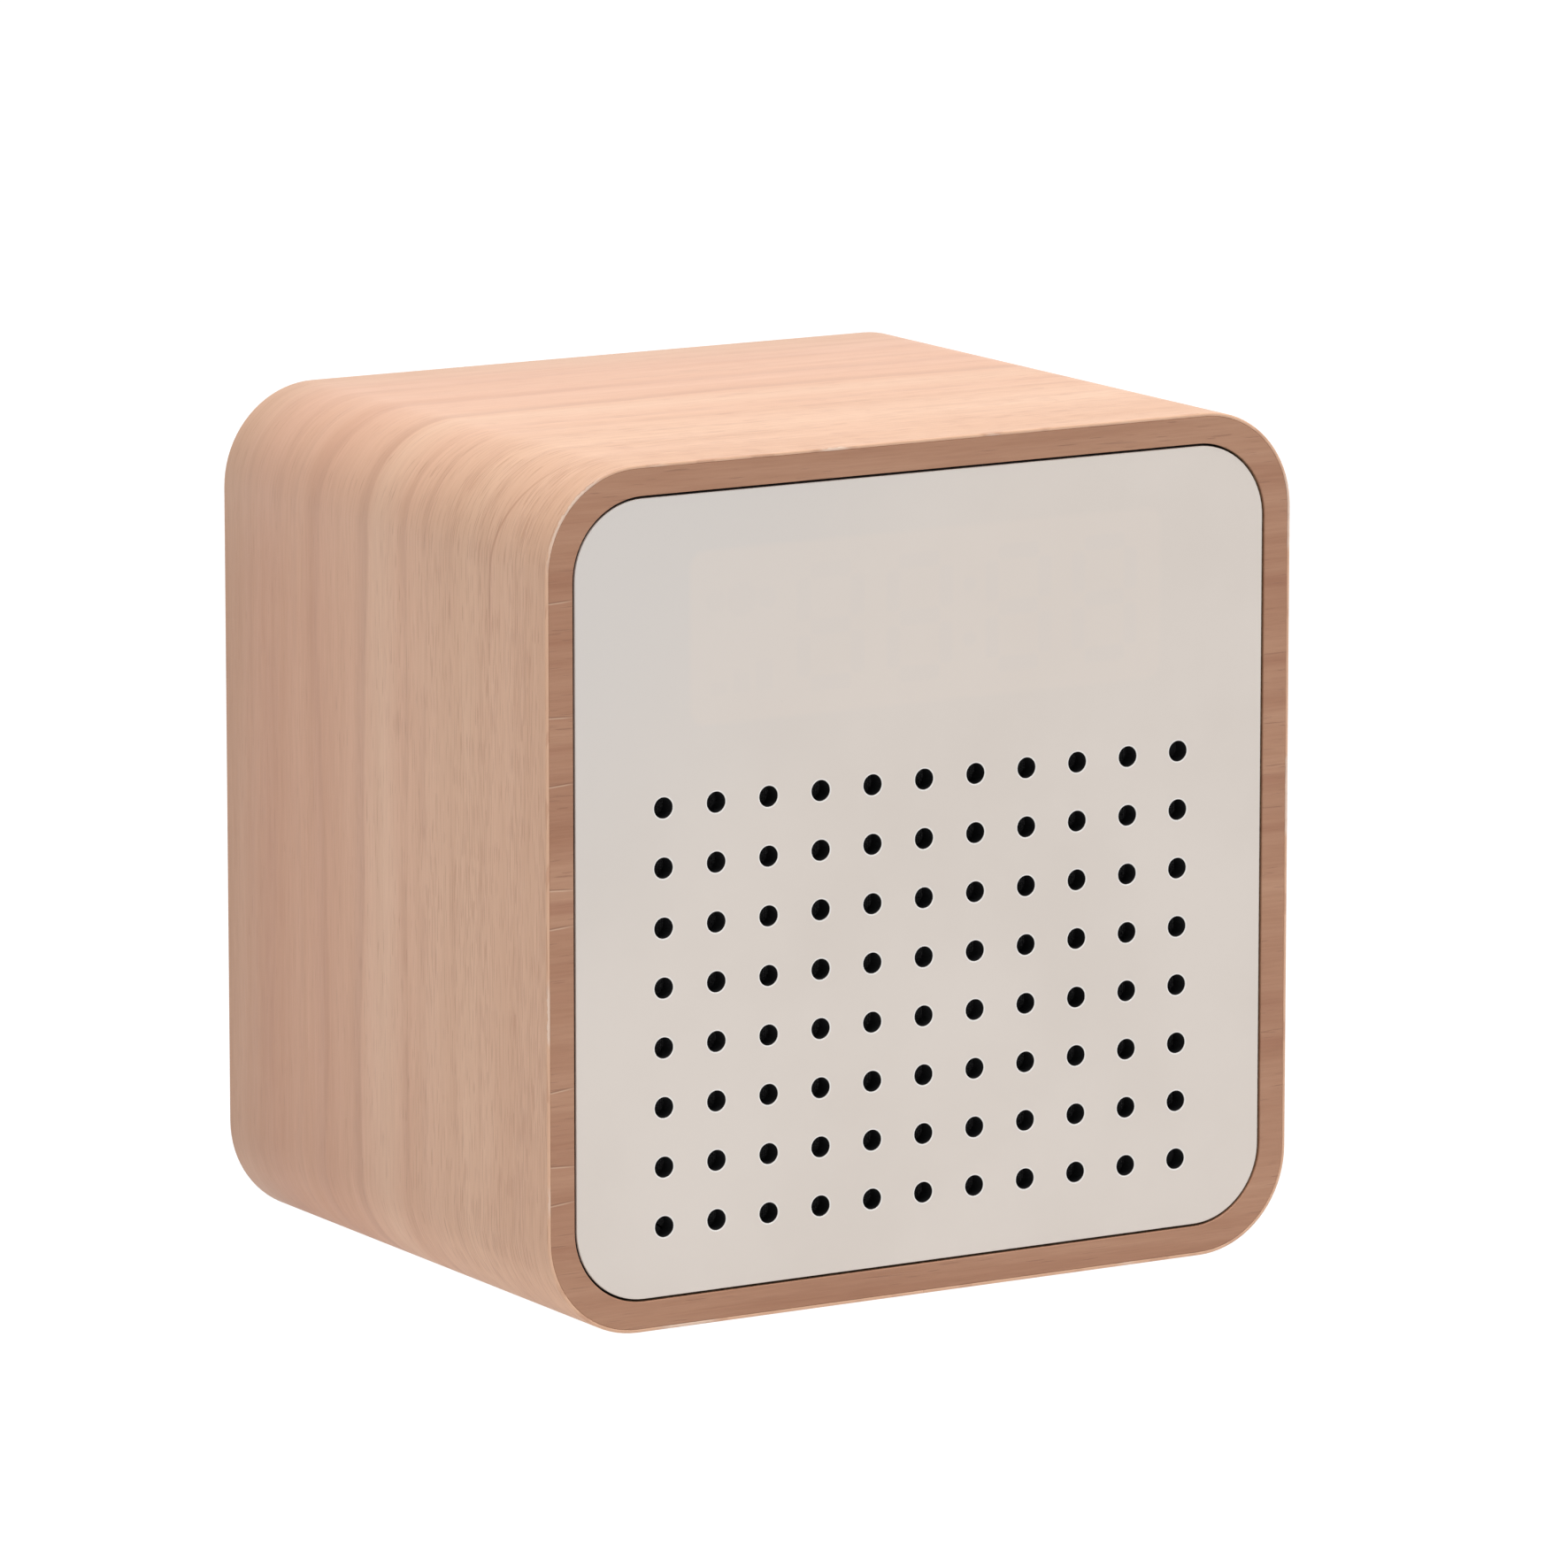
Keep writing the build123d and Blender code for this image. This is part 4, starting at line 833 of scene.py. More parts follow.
# distance round the case, depth, length and width in mm
WOOD_SPECKS = (
    (192.0, 41.0, 2.6, 0.8), (195.0, 40.2, 1.4, 0.5), (188.0, 60.0, 2.4, 0.9), (178.5, 43.0, 3.0, 0.5),
    (186.0, 22.0, 0.5, 0.4), (163.0, 17.0, 0.5, 0.4), (301.0, 44.0, 1.2, 0.7), (271.0, 34.5, 2.6, 0.9),
    (311.0, 17.0, 1.0, 0.4), (120.0, 30.0, 2.5, 0.6), (95.0, 52.0, 1.6, 0.6), (30.0, 25.0, 2.0, 0.6),
)
BROWNER_REAR = (0.87, 0.77, 0.68, 1)
DARK_LINE = (0.47, 0.215, 0.125, 1)
PALE_FIBRE_AND_HIGHLIGHT = (0.90, 0.78, 0.68, 1)
WOOD_RELIEF = 0.03 * MM
WORN_AND_HIGHLIT_CORNER, WORN_AND_HIGHLIT_WIDTH = 245.0 * MM, 0.09 * MM
# where the hairline starts, bends and stops on its way round, and its depth at the two ends of the bend
HAIR_START, HAIR_BEND, HAIR_STOP = (0.228, 0.244), (0.228, 0.252), (0.254, 0.261)
HAIR_DEPTHS, HAIR_WIDTHS, HAIR_SHARE = (0.0075, 0.0128), (0.00008, 0.00035), 0.55


def make_side_veneer():
    oil = {"Coat_Weight": 0.3, "Coat_Roughness": 0.35}
    material, tree, shader, _ = new_finish("side_veneer", Roughness=0.5, **oil)
    place = made(tree, "ShaderNodeUVMap", uv_map="veneer")
    parts = split(tree, place)
    along, back = parts["X"], parts["Y"]
    nearness = eased(tree, back, 0.012, 0.05, 0.42, 0.16)
    grain = use(tree, wood_fibres, {"Vector": place, "Pore Share": nearness})
    swing = less(tree, noise(tree, place, (10, 60, 60), 2.0), 0.5)
    pushed = plus(tree, back, times(tree, swing, 0.007))
    ramp = add(tree, "ShaderNodeValToRGB", {0: parted(tree, pushed, case_depth)})
    stops = ramp.color_ramp.elements
    while len(stops) < len(WOOD_BANDS):
        stops.new(0.5)
    for stop, (depth, colour) in zip(stops, WOOD_BANDS):
        stop.position = depth * MM / case_depth
        stop.color = (*colour, 1)
    # darker and browner towards the back, on the left side only
    browner = times(tree, eased(tree, along, 0.240, 0.262), eased(tree, back, 0.035, 0.072))
    colour = mixed(tree, browner, ramp.outputs[0], BROWNER_REAR, "MULTIPLY")
    streaked = eased(tree, grain["Streaks"], 0.3, 0.7, 0.66, 0.0)
    colour = mixed(tree, streaked, colour, (0.87, 0.83, 0.80, 1), "MULTIPLY")
    fibrous = eased(tree, grain["Fibres"], 0.25, 0.75, 0.8, 0.0)
    colour = mixed(tree, fibrous, colour, (0.92, 0.88, 0.86, 1), "MULTIPLY")
    for depth, width, wander, seed, breaks, share in GROWTH_LINES:
        run = {"Along": along, "Back": back, "Place": depth * MM, "Width": width * MM,
               "Wander": wander * MM, "Seed": seed, "Breaks": breaks}
        colour = laid_over(tree, colour, use(tree, growth_line, run)["Mask"], share, DARK_LINE)
    colour = mixed(tree, make_hairline(tree, along, back), colour, DARK_LINE)
    for centre, depth, length, width in WOOD_SPECKS:
        spot = {"Along": along, "Back": back, "Centre Along": centre * MM, "Centre Back": depth * MM,
                "Length": length * MM, "Width": width * MM}
        colour = laid_over(tree, colour, use(tree, pin_speck, spot)["Mask"], 0.28, DARK_LINE)
    colour = laid_over(tree, colour, grain["Pores"], 0.38, DARK_LINE)
    # paler front edge: worn fibres together with a painted highlight line, strongest near the top left
    # corner
    from_corner = unsigned(tree, less(tree, along, WORN_AND_HIGHLIT_CORNER))
    share = eased(tree, from_corner, 0.006, 0.030, 0.48, 0.38)
    edge = {"Along": along, "Depth": back, "Width": WORN_AND_HIGHLIT_WIDTH, "Share": share}
    worn = use(tree, frayed_and_highlit_edge, edge)["Mask"]
    colour = laid_over(tree, colour, worn, 0.4, PALE_FIBRE_AND_HIGHLIGHT)
    height = less(tree, grain["Height"], times(tree, worn, 1.5))
    roughness = eased(tree, grain["Streaks"], 0.3, 0.7, 0.56, 0.46)
    normal = bumped(tree, height, WOOD_RELIEF)
    fill_in(tree, shader, {"Base Color": colour, "Roughness": roughness, "Normal": normal})
    return material


def make_hairline(tree, along, back):
    """A fine dark line over the top left corner, nearer the front on the top than on the side."""
    over = eased(tree, along, *HAIR_BEND, *HAIR_DEPTHS)
    off = unsigned(tree, less(tree, back, over))
    thin = one_minus(tree, eased(tree, off, *HAIR_WIDTHS))
    start = eased(tree, along, *HAIR_START)
    stop = eased(tree, along, *HAIR_STOP, 1.0, 0.0)
    return times(tree, times(tree, thin, HAIR_SHARE), times(tree, start, stop))


side_veneer = make_side_veneer()
dress(wrap, side_veneer)
print("side veneer:", len(WOOD_BANDS), "bands,", len(GROWTH_LINES), "growth lines,",
      len(WOOD_SPECKS), "specks")

# %% [markdown]
# ### Edge veneer
#
# The rings are cut from a darker, redder sheet whose grain runs straight across the case. It shows end to
# end along the top and bottom, and as short bands up the two sides. A knife has left a few fine marks
# across the left side, drawn with painted shade on one flank and a painted highlight on the other.

# %% Edge veneer
# height from the middle in mm, tilt
KNIFE_MARKS = (
    (-21.0, 0.9), (-29.6, -0.4), (-2.0, 0.6), (2.6, -0.5), (14.5, 0.5), (35.6, 0.4), (-34.2, 0.8),
    (22.5, -0.3),
)
KNIFE_TILT, KNIFE_WIDTHS, KNIFE_SHADE = 0.12, (0.00004, 0.00013), (0.2, 0.09, 0.05, 1)
FLANK_SHIFT, FLANK_WIDTHS, FLANK_HIGHLIGHT = 0.16 * MM, (0.00003, 0.00012), (0.74, 0.53, 0.39, 1)
LEFT_STRIP = (-0.0486, -0.0462)


def make_edge_veneer():
    material, tree, shader, place = new_finish("edge_veneer", Roughness=0.55)
    parts = split(tree, place)
    grain_vector = joined(tree, X=parts["X"], Y=parts["Z"], Z=parts["Y"])
    grain = use(tree, wood_fibres, {"Vector": grain_vector, "Pore Share": 0.12})
    broad = noise(tree, grain_vector, (12, 130, 0), 2.0)
    colour = mixed(tree, eased(tree, broad, 0.32, 0.66), (0.435, 0.220, 0.132, 1), (0.515, 0.285, 0.180, 1))
    bands = noise(tree, grain_vector, (5, 300, 0), 1.0)
    colour = mixed(tree, eased(tree, bands, 0.56, 0.74, 0.0, 0.55), colour, (0.36, 0.155, 0.088, 1))
    streaked = eased(tree, grain["Streaks"], 0.3, 0.7, 0.7, 0.0)
    colour = mixed(tree, streaked, colour, (0.86, 0.80, 0.76, 1), "MULTIPLY")
    fibrous = eased(tree, grain["Fibres"], 0.25, 0.75, 0.8, 0.0)
    colour = mixed(tree, fibrous, colour, (0.88, 0.84, 0.81, 1), "MULTIPLY")
    colour = laid_over(tree, colour, grain["Pores"], 0.4, (0.24, 0.105, 0.058, 1))
    lift = less(tree, parts["Z"], case_middle.z)
    left_side = eased(tree, parts["X"], *LEFT_STRIP, 1.0, 0.0)
    # each knife mark gets painted shade on one flank and a painted highlight on the other
    for level, tilt in KNIFE_MARKS:
        slope = times(tree, plus(tree, parts["X"], half_case), tilt * KNIFE_TILT)
        off = less(tree, less(tree, lift, level * MM), slope)
        painted_shade = one_minus(tree, eased(tree, unsigned(tree, off), *KNIFE_WIDTHS))
        flank = unsigned(tree, plus(tree, off, FLANK_SHIFT))
        painted_highlight = one_minus(tree, eased(tree, flank, *FLANK_WIDTHS))
        colour = laid_over(tree, colour, times(tree, painted_shade, left_side), 0.5, KNIFE_SHADE)
        colour = laid_over(tree, colour, times(tree, painted_highlight, left_side), 0.45, FLANK_HIGHLIGHT)
    roughness = eased(tree, grain["Streaks"], 0.3, 0.7, 0.62, 0.5)
    normal = bumped(tree, grain["Height"], WOOD_RELIEF)
    fill_in(tree, shader, {"Base Color": colour, "Roughness": roughness, "Normal": normal})
    return material


edge_veneer = make_edge_veneer()
for ring in (front_ring, rear_ring):
    dress(ring, edge_veneer)
print("edge veneer:", len(KNIFE_MARKS), "knife marks")

# %% [markdown]
# ## The white skin
#
# The skin is matt white. Inside the air holes everything behind the white face is coloured near-black as
# painted shade, so each hole looks black right up to its rim, and a painted highlight runs as a fine bright
# line round each rim. The outer edge of the sheet stays white. Behind the skin the unlit display just shows:
# its window a touch warmer than the rest, its digits and signs a touch darker. Two groups make those shapes
# as soft masks from Object coordinates: a rounded patch, and an eight built from such patches.

# %% Display shadow groups
def make_rounded_patch():
    """A soft mask of a rounded rectangle. X and Z are measured from its centre."""
    inputs = {"X": (FLOAT, 0.0), "Z": (FLOAT, 0.0), "Half Width": (FLOAT, 0.01),
              "Half Height": (FLOAT, 0.01), "Corner": (FLOAT, 0.001), "Softness": (FLOAT, 0.0005)}
    tree, given, result = new_group("rounded_patch", "ShaderNodeTree", inputs, {"Mask": FLOAT})
    squares = []
    for place, half in (("X", "Half Width"), ("Z", "Half Height")):
        past = less(tree, unsigned(tree, given[place]), given[half])
        past = larger(tree, plus(tree, past, given["Corner"]), 0.0)
        squares.append(times(tree, past, past))
    reach = less(tree, maths(tree, "SQRT", plus(tree, *squares)), given["Corner"])
    inside = times(tree, given["Softness"], -1.0)
    fill_in(tree, result, {"Mask": eased(tree, reach, inside, given["Softness"], 1.0, 0.0)})
    return tree


def make_eight():
    """A soft mask of seven bars in an eight. X and Z are measured from its centre."""
    inputs = {"X": (FLOAT, 0.0), "Z": (FLOAT, 0.0), "Half Width": (FLOAT, 0.0036),
              "Half Height": (FLOAT, 0.0066), "Bar": (FLOAT, 0.0018), "Softness": (FLOAT, 0.0003)}
    tree, given, result = new_group("eight", "ShaderNodeTree", inputs, {"Mask": FLOAT})
    half_bar = times(tree, given["Bar"], 0.5)
    soft, corner = given["Softness"], times(tree, given["Bar"], 0.3)
    across = unsigned(tree, given["X"])
    upright = unsigned(tree, given["Z"])
    half_way = times(tree, given["Half Height"], 0.5)
    short = less(tree, half_way, half_bar)
    narrow = less(tree, given["Half Width"], half_bar)
    bars = []
    for x, z, wide, high in (
        (less(tree, across, given["Half Width"]), less(tree, upright, half_way), half_bar, short),
        (given["X"], less(tree, upright, given["Half Height"]), narrow, half_bar),
        (given["X"], upright, narrow, half_bar),
    ):
        patch = {"X": x, "Z": z, "Half Width": wide, "Half Height": high, "Corner": corner,
                 "Softness": soft}
        bars.append(use(tree, rounded_patch, patch)["Mask"])
    fill_in(tree, result, {"Mask": larger(tree, larger(tree, bars[0], bars[1]), bars[2])})
    return tree


rounded_patch = make_rounded_patch()
eight = make_eight()

# %% [markdown]
# The coat also has the faint cloudiness of sprayed plastic and a few specks of dust. That cloudiness and
# the very fine grain of a moulded face are the same on every plastic piece here, so they are one group too.

# %% Plastic group and skin finish
def make_moulded_face():
    """Cloudiness, fine grain and dust specks of a plastic face."""
    inputs = {"Vector": (VECTOR, None), "Grain Size": (FLOAT, 0.0002)}
    outputs = {"Clouds": FLOAT, "Grain": FLOAT, "Dust": FLOAT}
    tree, given, result = new_group("moulded_face", "ShaderNodeTree", inputs, outputs)
    clouds = noise(tree, given["Vector"], (45, 45, 45), 3.0, 0.55)
    frequency = parted(tree, 1.0, given["Grain Size"])
    bumps = {"Vector": given["Vector"], "Scale": frequency, "Detail": 1.0}
    grain = add(tree, "ShaderNodeTexNoise", bumps).outputs["Fac"]
    cells = add(tree, "ShaderNodeTexVoronoi", {"Vector": given["Vector"], "Scale": 260.0}).outputs
    lot = add(tree, "ShaderNodeSeparateColor", {0: cells["Color"]}).outputs["Red"]
    chosen = eased(tree, lot, 0.955, 0.965)
    dust = times(tree, eased(tree, cells["Distance"], 0.012, 0.05, 1.0, 0.0), chosen)
    fill_in(tree, result, {"Clouds": clouds, "Grain": grain, "Dust": dust})
    return tree


# places across and up, and sizes, in mm from the middle of the front
DIGIT_PLACES = (-12.7, -0.7, 12.8, 24.6)
DISPLAY_CENTRE = (0.5, 29.8)
WINDOW_HALF = (31.9, 10.1)
SIGN_BALLS = ((-28.0, 33.9, 1.3), (-24.6, 33.9, 2.0), (-21.2, 33.9, 1.3))
SIGN_BARS = ((-27.6, 23.8, 0.7), (-24.6, 24.3, 1.2), (-21.6, 24.8, 1.7))
COLON_BALLS = ((6.1, 33.0, 0.9), (6.1, 26.6, 0.9))
# where the painted shade on the hole walls begins, behind the front face
SHADE_START_DEPTH = 0.09 * MM
RIM_HIGHLIGHT_WIDTH = 0.2 * MM
SKIN_INNER_MARGIN = 1.0 * MM


def display_shadow(tree, x, z):
    """Masks of the display's window and of its unlit digits and signs."""
    def patch(centre_x, centre_z, wide, high, corner, softness):
        near = {"X": less(tree, x, centre_x * MM), "Z": less(tree, z, centre_z * MM)}
        sizes = {"Half Width": wide * MM, "Half Height": high * MM, "Corner": corner * MM,
                 "Softness": softness * MM}
        return use(tree, rounded_patch, {**near, **sizes})["Mask"]

    window = patch(*DISPLAY_CENTRE, *WINDOW_HALF, 2.0, 0.5)
    shapes = [patch(bx, bz, size, size, size, 0.3) for bx, bz, size in SIGN_BALLS + COLON_BALLS]
    shapes += [patch(bx, bz, 1.1, high, 0.2, 0.3) for bx, bz, high in SIGN_BARS]
    for centre in DIGIT_PLACES:
        near = {"X": less(tree, x, centre * MM), "Z": less(tree, z, DISPLAY_CENTRE[1] * MM)}
        shapes.append(use(tree, eight, near)["Mask"])
    signs = shapes[0]
    for shape in shapes[1:]:
        signs = larger(tree, signs, shape)
    return window, signs


def hole_rim_highlights(tree, x, z):
    """A mask of the painted highlight round each air hole, from places measured from their middle."""
    squares = []
    for place, count in ((x, HOLE_COLUMNS), (z, HOLE_ROWS)):
        steps = parted(tree, place, HOLE_PITCH)
        half_step = 0.5 if count % 2 == 0 else 0.0
        nearest = less(tree, maths(tree, "ROUND", less(tree, steps, half_step)), -half_step)
        limit = (count - 1) / 2
        nearest = larger(tree, maths(tree, "MINIMUM", nearest, limit), -limit)
        away = times(tree, less(tree, steps, nearest), HOLE_PITCH)
        squares.append(times(tree, away, away))
    reach = maths(tree, "SQRT", plus(tree, *squares))
    return eased(tree, reach, HOLE_RADIUS + RIM_HIGHLIGHT_WIDTH * 0.5, HOLE_RADIUS + RIM_HIGHLIGHT_WIDTH, 1.0, 0.0)


def make_white_skin():
    material, tree, shader, place = new_finish("white_coat", Roughness=0.45, Specular_IOR_Level=0.35)
    parts = split(tree, place)
    height_up = less(tree, parts["Z"], case_middle.z)
    face = use(tree, moulded_face, {"Vector": place, "Grain Size": 0.0003})
    clouds = eased(tree, face["Clouds"], 0.3, 0.7)
    colour = mixed(tree, clouds, (0.745, 0.672, 0.612, 1), (0.775, 0.702, 0.642, 1))
    cool_side = eased(tree, less(tree, height_up, parts["X"]), 0.02, 0.085)
    colour = mixed(tree, cool_side, colour, (0.725, 0.678, 0.640, 1))
    window, signs = display_shadow(tree, parts["X"], height_up)
    colour = laid_over(tree, colour, window, 0.42, (0.795, 0.705, 0.635, 1))
    colour = laid_over(tree, colour, signs, 0.33, (0.735, 0.672, 0.625, 1))
    colour = laid_over(tree, colour, face["Dust"], 0.3, (0.45, 0.40, 0.36, 1))
    # painted highlight: a pale line round the rim of each air hole
    rim_highlights = hole_rim_highlights(tree, parts["X"], less(tree, height_up, HOLE_GRID_LIFT))
    colour = laid_over(tree, colour, rim_highlights, 0.8, (0.93, 0.90, 0.87, 1))
    # painted shade: inside the air holes, everything behind the white face is coloured near-black
    behind = less(tree, parts["Y"], skin_low.y)
    painted_shade = eased(tree, behind, SHADE_START_DEPTH * 0.8, SHADE_START_DEPTH * 1.2)
    inner_half = skin_size / 2 - SKIN_INNER_MARGIN
    inner = {"X": parts["X"], "Z": height_up, "Half Width": inner_half, "Half Height": inner_half,
             "Corner": SKIN_CORNER - SKIN_INNER_MARGIN, "Softness": 0.1 * MM}
    inside = use(tree, rounded_patch, inner)["Mask"]
    colour = laid_over(tree, colour, painted_shade, inside, (0.018, 0.016, 0.015, 1))
    normal = bumped(tree, face["Grain"], 0.000004)
    roughness = eased(tree, face["Clouds"], 0.3, 0.7, 0.42, 0.5)
    fill_in(tree, shader, {"Base Color": colour, "Roughness": roughness, "Normal": normal})
    return material


moulded_face = make_moulded_face()
dress(skin, make_white_skin())
sign_count = len(SIGN_BALLS) + len(SIGN_BARS) + len(COLON_BALLS)
print("display shadow:", len(DIGIT_PLACES), "digits,", sign_count, "signs")

# %% [markdown]
# ## The back cover
#
# The cover is one moulded sheet with a row of narrow vents along its top, two blocks of longer vents, three
# button holes, a recess for the plug and four sunk holes for screws. Each kind of opening is an outline
# repeated on a grid, so the tree is built by a loop over a table of openings: adding a kind is adding a
# line. The sunk holes and the plug recess only need a stepped section instead of a plain one. Four hollow
# posts on the inside, which carry the main board, are a closed section swept round a circle.

# %% Openings in the cover
ROUND_STEPS = 8
ROUND_SIDES = 36
COVER_ROUND = 0.25 * MM
SLOT_ROUND = 0.12 * MM
CARRIER_CORNER = 9.0 * MM
VENT_WIDTH, VENT_CORNER, VENT_PITCH = 1.6 * MM, 0.72 * MM, 3.5 * MM
UPPER_VENT_HEIGHT, LOWER_VENT_HEIGHT = 7.0 * MM, 18.0 * MM
UPPER_VENT_LIFT, LOWER_VENT_SHIFT = 38.0 * MM, 17.0 * MM
COUNTERBORE_DEPTH, COUNTERBORE_RADIUS, CLEARANCE_RADIUS = 1.2 * MM, 3.1 * MM, 1.7 * MM
PLUG_RECESS, PLUG_CORNER, PLUG_DEPTH, PLUG_LEDGE = (14.0, 8.5), 3.0 * MM, 1.0 * MM, 2.1 * MM
SCREW_SPREAD = 80.4 * MM
BUTTON_PITCH = 14.0 * MM
BUTTON_LIFT = 24.0 * MM
BUTTON_HOLE_RADIUS = 3.7 * MM
SOCKET_LIFT = -28.0 * MM

cover_low, cover_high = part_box("rear_cover")
cover_thickness = 2.5 * MM
cover_inner_y = cover_high.y - cover_thickness


def stepped_section(name, step, depth):
    """The edge of a hole that is wider by a step on its outer side, down to a depth."""
    floor = cover_thickness - depth
    corners = [(step - SLOT_ROUND, 0, 0), (step, 0, SLOT_ROUND), (step, floor, SLOT_ROUND), (0, floor, 0),
               (0, cover_thickness, SLOT_ROUND), (-SLOT_ROUND, cover_thickness, 0)]
    return curve_object(name, [rounded_line(corners)], False)


def opening(name, width, height, corner):
    """The outline of an opening, clockwise."""
    return curve_object(name, [rounded_outline(width, height, corner, ROUND_STEPS)[::-1]], True)


def circle_line(radius):
    """The points of a circle, anticlockwise."""
    return [Vector((math.cos(angle), math.sin(angle), 0)) * radius
            for angle in (math.tau * step / ROUND_SIDES for step in range(ROUND_SIDES))]


plain_section = edge_section("slot_section", cover_thickness, SLOT_ROUND, SLOT_ROUND)
upper_slot = opening("upper_slot", VENT_WIDTH, UPPER_VENT_HEIGHT, VENT_CORNER)
lower_slot = opening("lower_slot", VENT_WIDTH, LOWER_VENT_HEIGHT, VENT_CORNER)
button_hole = curve_object("button_hole", [circle_line(BUTTON_HOLE_RADIUS)[::-1]], True)
screw_hole = curve_object("screw_hole", [circle_line(COUNTERBORE_RADIUS)[::-1]], True)
plug_hole = opening("plug_hole", PLUG_RECESS[0] * MM, PLUG_RECESS[1] * MM, PLUG_CORNER)
screw_section = stepped_section("screw_section", COUNTERBORE_RADIUS - CLEARANCE_RADIUS, COUNTERBORE_DEPTH)
plug_section = stepped_section("plug_section", PLUG_LEDGE, PLUG_DEPTH)

# name, outline, section, columns, rows, pitch across, pitch up, centre across, centre up
COVER_OPENINGS = (
    ("Upper Vents", upper_slot, plain_section, 17, 1, VENT_PITCH, 0.0, 0.0, UPPER_VENT_LIFT),
    ("Left Vents", lower_slot, plain_section, 5, 1, VENT_PITCH, 0.0, -LOWER_VENT_SHIFT, SOCKET_LIFT),
    ("Right Vents", lower_slot, plain_section, 5, 1, VENT_PITCH, 0.0, LOWER_VENT_SHIFT, SOCKET_LIFT),
    ("Button Holes", button_hole, plain_section, 3, 1, BUTTON_PITCH, 0.0, 0.0, BUTTON_LIFT),
    ("Screw Holes", screw_hole, screw_section, 2, 2, SCREW_SPREAD, SCREW_SPREAD, 0.0, 0.0),
    ("Plug Hole", plug_hole, plug_section, 1, 1, 0.0, 0.0, 0.0, SOCKET_LIFT),
)

# %% Cover tree
POST_RADIUS, POST_HOLE = 2.7 * MM, 1.12 * MM
POST_SPREAD = (58.0 * MM, 54.0 * MM)
POST_SINK = 0.4 * MM


def make_cover_tree():
    inputs = {"Outline": (OBJECT, None), "Edge Section": (OBJECT, None), "Thickness": (FLOAT, 0.001),
              "Post Outline": (OBJECT, None), "Post Section": (OBJECT, None),
              "Post Spread": (VECTOR, (0, 0, 0)), "Place": (VECTOR, None), "Material": (MATERIAL, None)}
    for name, *_ in COVER_OPENINGS:
        inputs.update({f"{name} Outline": (OBJECT, None), f"{name} Section": (OBJECT, None),
                       f"{name} Columns": (WHOLE, 1), f"{name} Rows": (WHOLE, 1),
                       f"{name} Pitch": (VECTOR, (0, 0, 0)), f"{name} Centre": (VECTOR, (0, 0, 0))})
    tree, given, result = new_group("back_cover", "GeometryNodeTree", inputs, {"Geometry": GEOMETRY})
    outline = curve_from(tree, given["Outline"])
    edge = curve_from(tree, given["Edge Section"])
    bands = [swept(tree, outline, edge)]
    for name, *_ in COVER_OPENINGS:
        line = curve_from(tree, given[f"{name} Outline"])
        section = curve_from(tree, given[f"{name} Section"])
        spots = {label: given[f"{name} {label}"] for label in ("Columns", "Rows", "Pitch", "Centre")}
        lines = use(tree, repeat_on_grid, {"Geometry": line, **spots})["Geometry"]
        bands.append(swept(tree, lines, section))
    band = together(tree, *bands)
    sheet = use(tree, close_sheet, {"Band": band, "Thickness": given["Thickness"]})["Sheet"]
    circle = curve_from(tree, given["Post Outline"])
    wall = curve_from(tree, given["Post Section"])
    post = swept(tree, circle, wall)
    spots = {"Geometry": post, "Columns": 2, "Rows": 2, "Pitch": given["Post Spread"]}
    posts = use(tree, repeat_on_grid, spots)["Geometry"]
    return end_piece(tree, given, result, together(tree, sheet, posts))


def make_cover():
    size = cover_high.x - cover_low.x
    line = rounded_outline(size, size, CARRIER_CORNER, CORNER_STEPS)
    reach = cover_low.y - cover_inner_y
    wall = POST_HOLE - POST_RADIUS
    post_wall = [Vector((0, reach, 0)), Vector((0, POST_SINK, 0)),
                 Vector((wall, POST_SINK, 0)), Vector((wall, reach, 0))]
    inputs = {
        "Outline": curve_object("cover_outline", [line], True),
        "Edge Section": edge_section("cover_edge", cover_thickness, SLOT_ROUND, COVER_ROUND),
        "Thickness": cover_thickness,
        "Post Outline": curve_object("post_circle", [circle_line(POST_RADIUS)], True),
        "Post Section": curve_object("post_wall", [post_wall], True),
        "Post Spread": Vector((*POST_SPREAD, 0)),
        "Place": Vector((case_middle.x, cover_inner_y, case_middle.z)),
    }
    for name, line, section, columns, rows, across, up, centre_x, centre_z in COVER_OPENINGS:
        inputs.update({f"{name} Outline": line, f"{name} Section": section, f"{name} Columns": columns,
                       f"{name} Rows": rows, f"{name} Pitch": Vector((across, up, 0)),
                       f"{name} Centre": Vector((centre_x, centre_z, 0))})
    piece = run_tree(make_cover_tree(), "back_cover", inputs)
    hand_over(piece, "case", "cover_plastic", "rear_cover")
    return piece


cover = make_cover()

# %% [markdown]
# ## Turned pieces
#
# Screws, feet and buttons are turned shapes: one outline spun round an axis. The group below makes a flat
# grid with one column for each side and one row for each point of the outline, then moves every point of
# the grid to its place by its own number. The two edges of the grid meet, and rows at the axis shrink to a
# point, so merging by distance closes the piece. An outline point is (radius, depth), and the outline
# starts and ends on the axis.

# %% Turned group
SHARP_ANGLE = math.radians(40)
TURNED_MERGE = 0.004 * MM


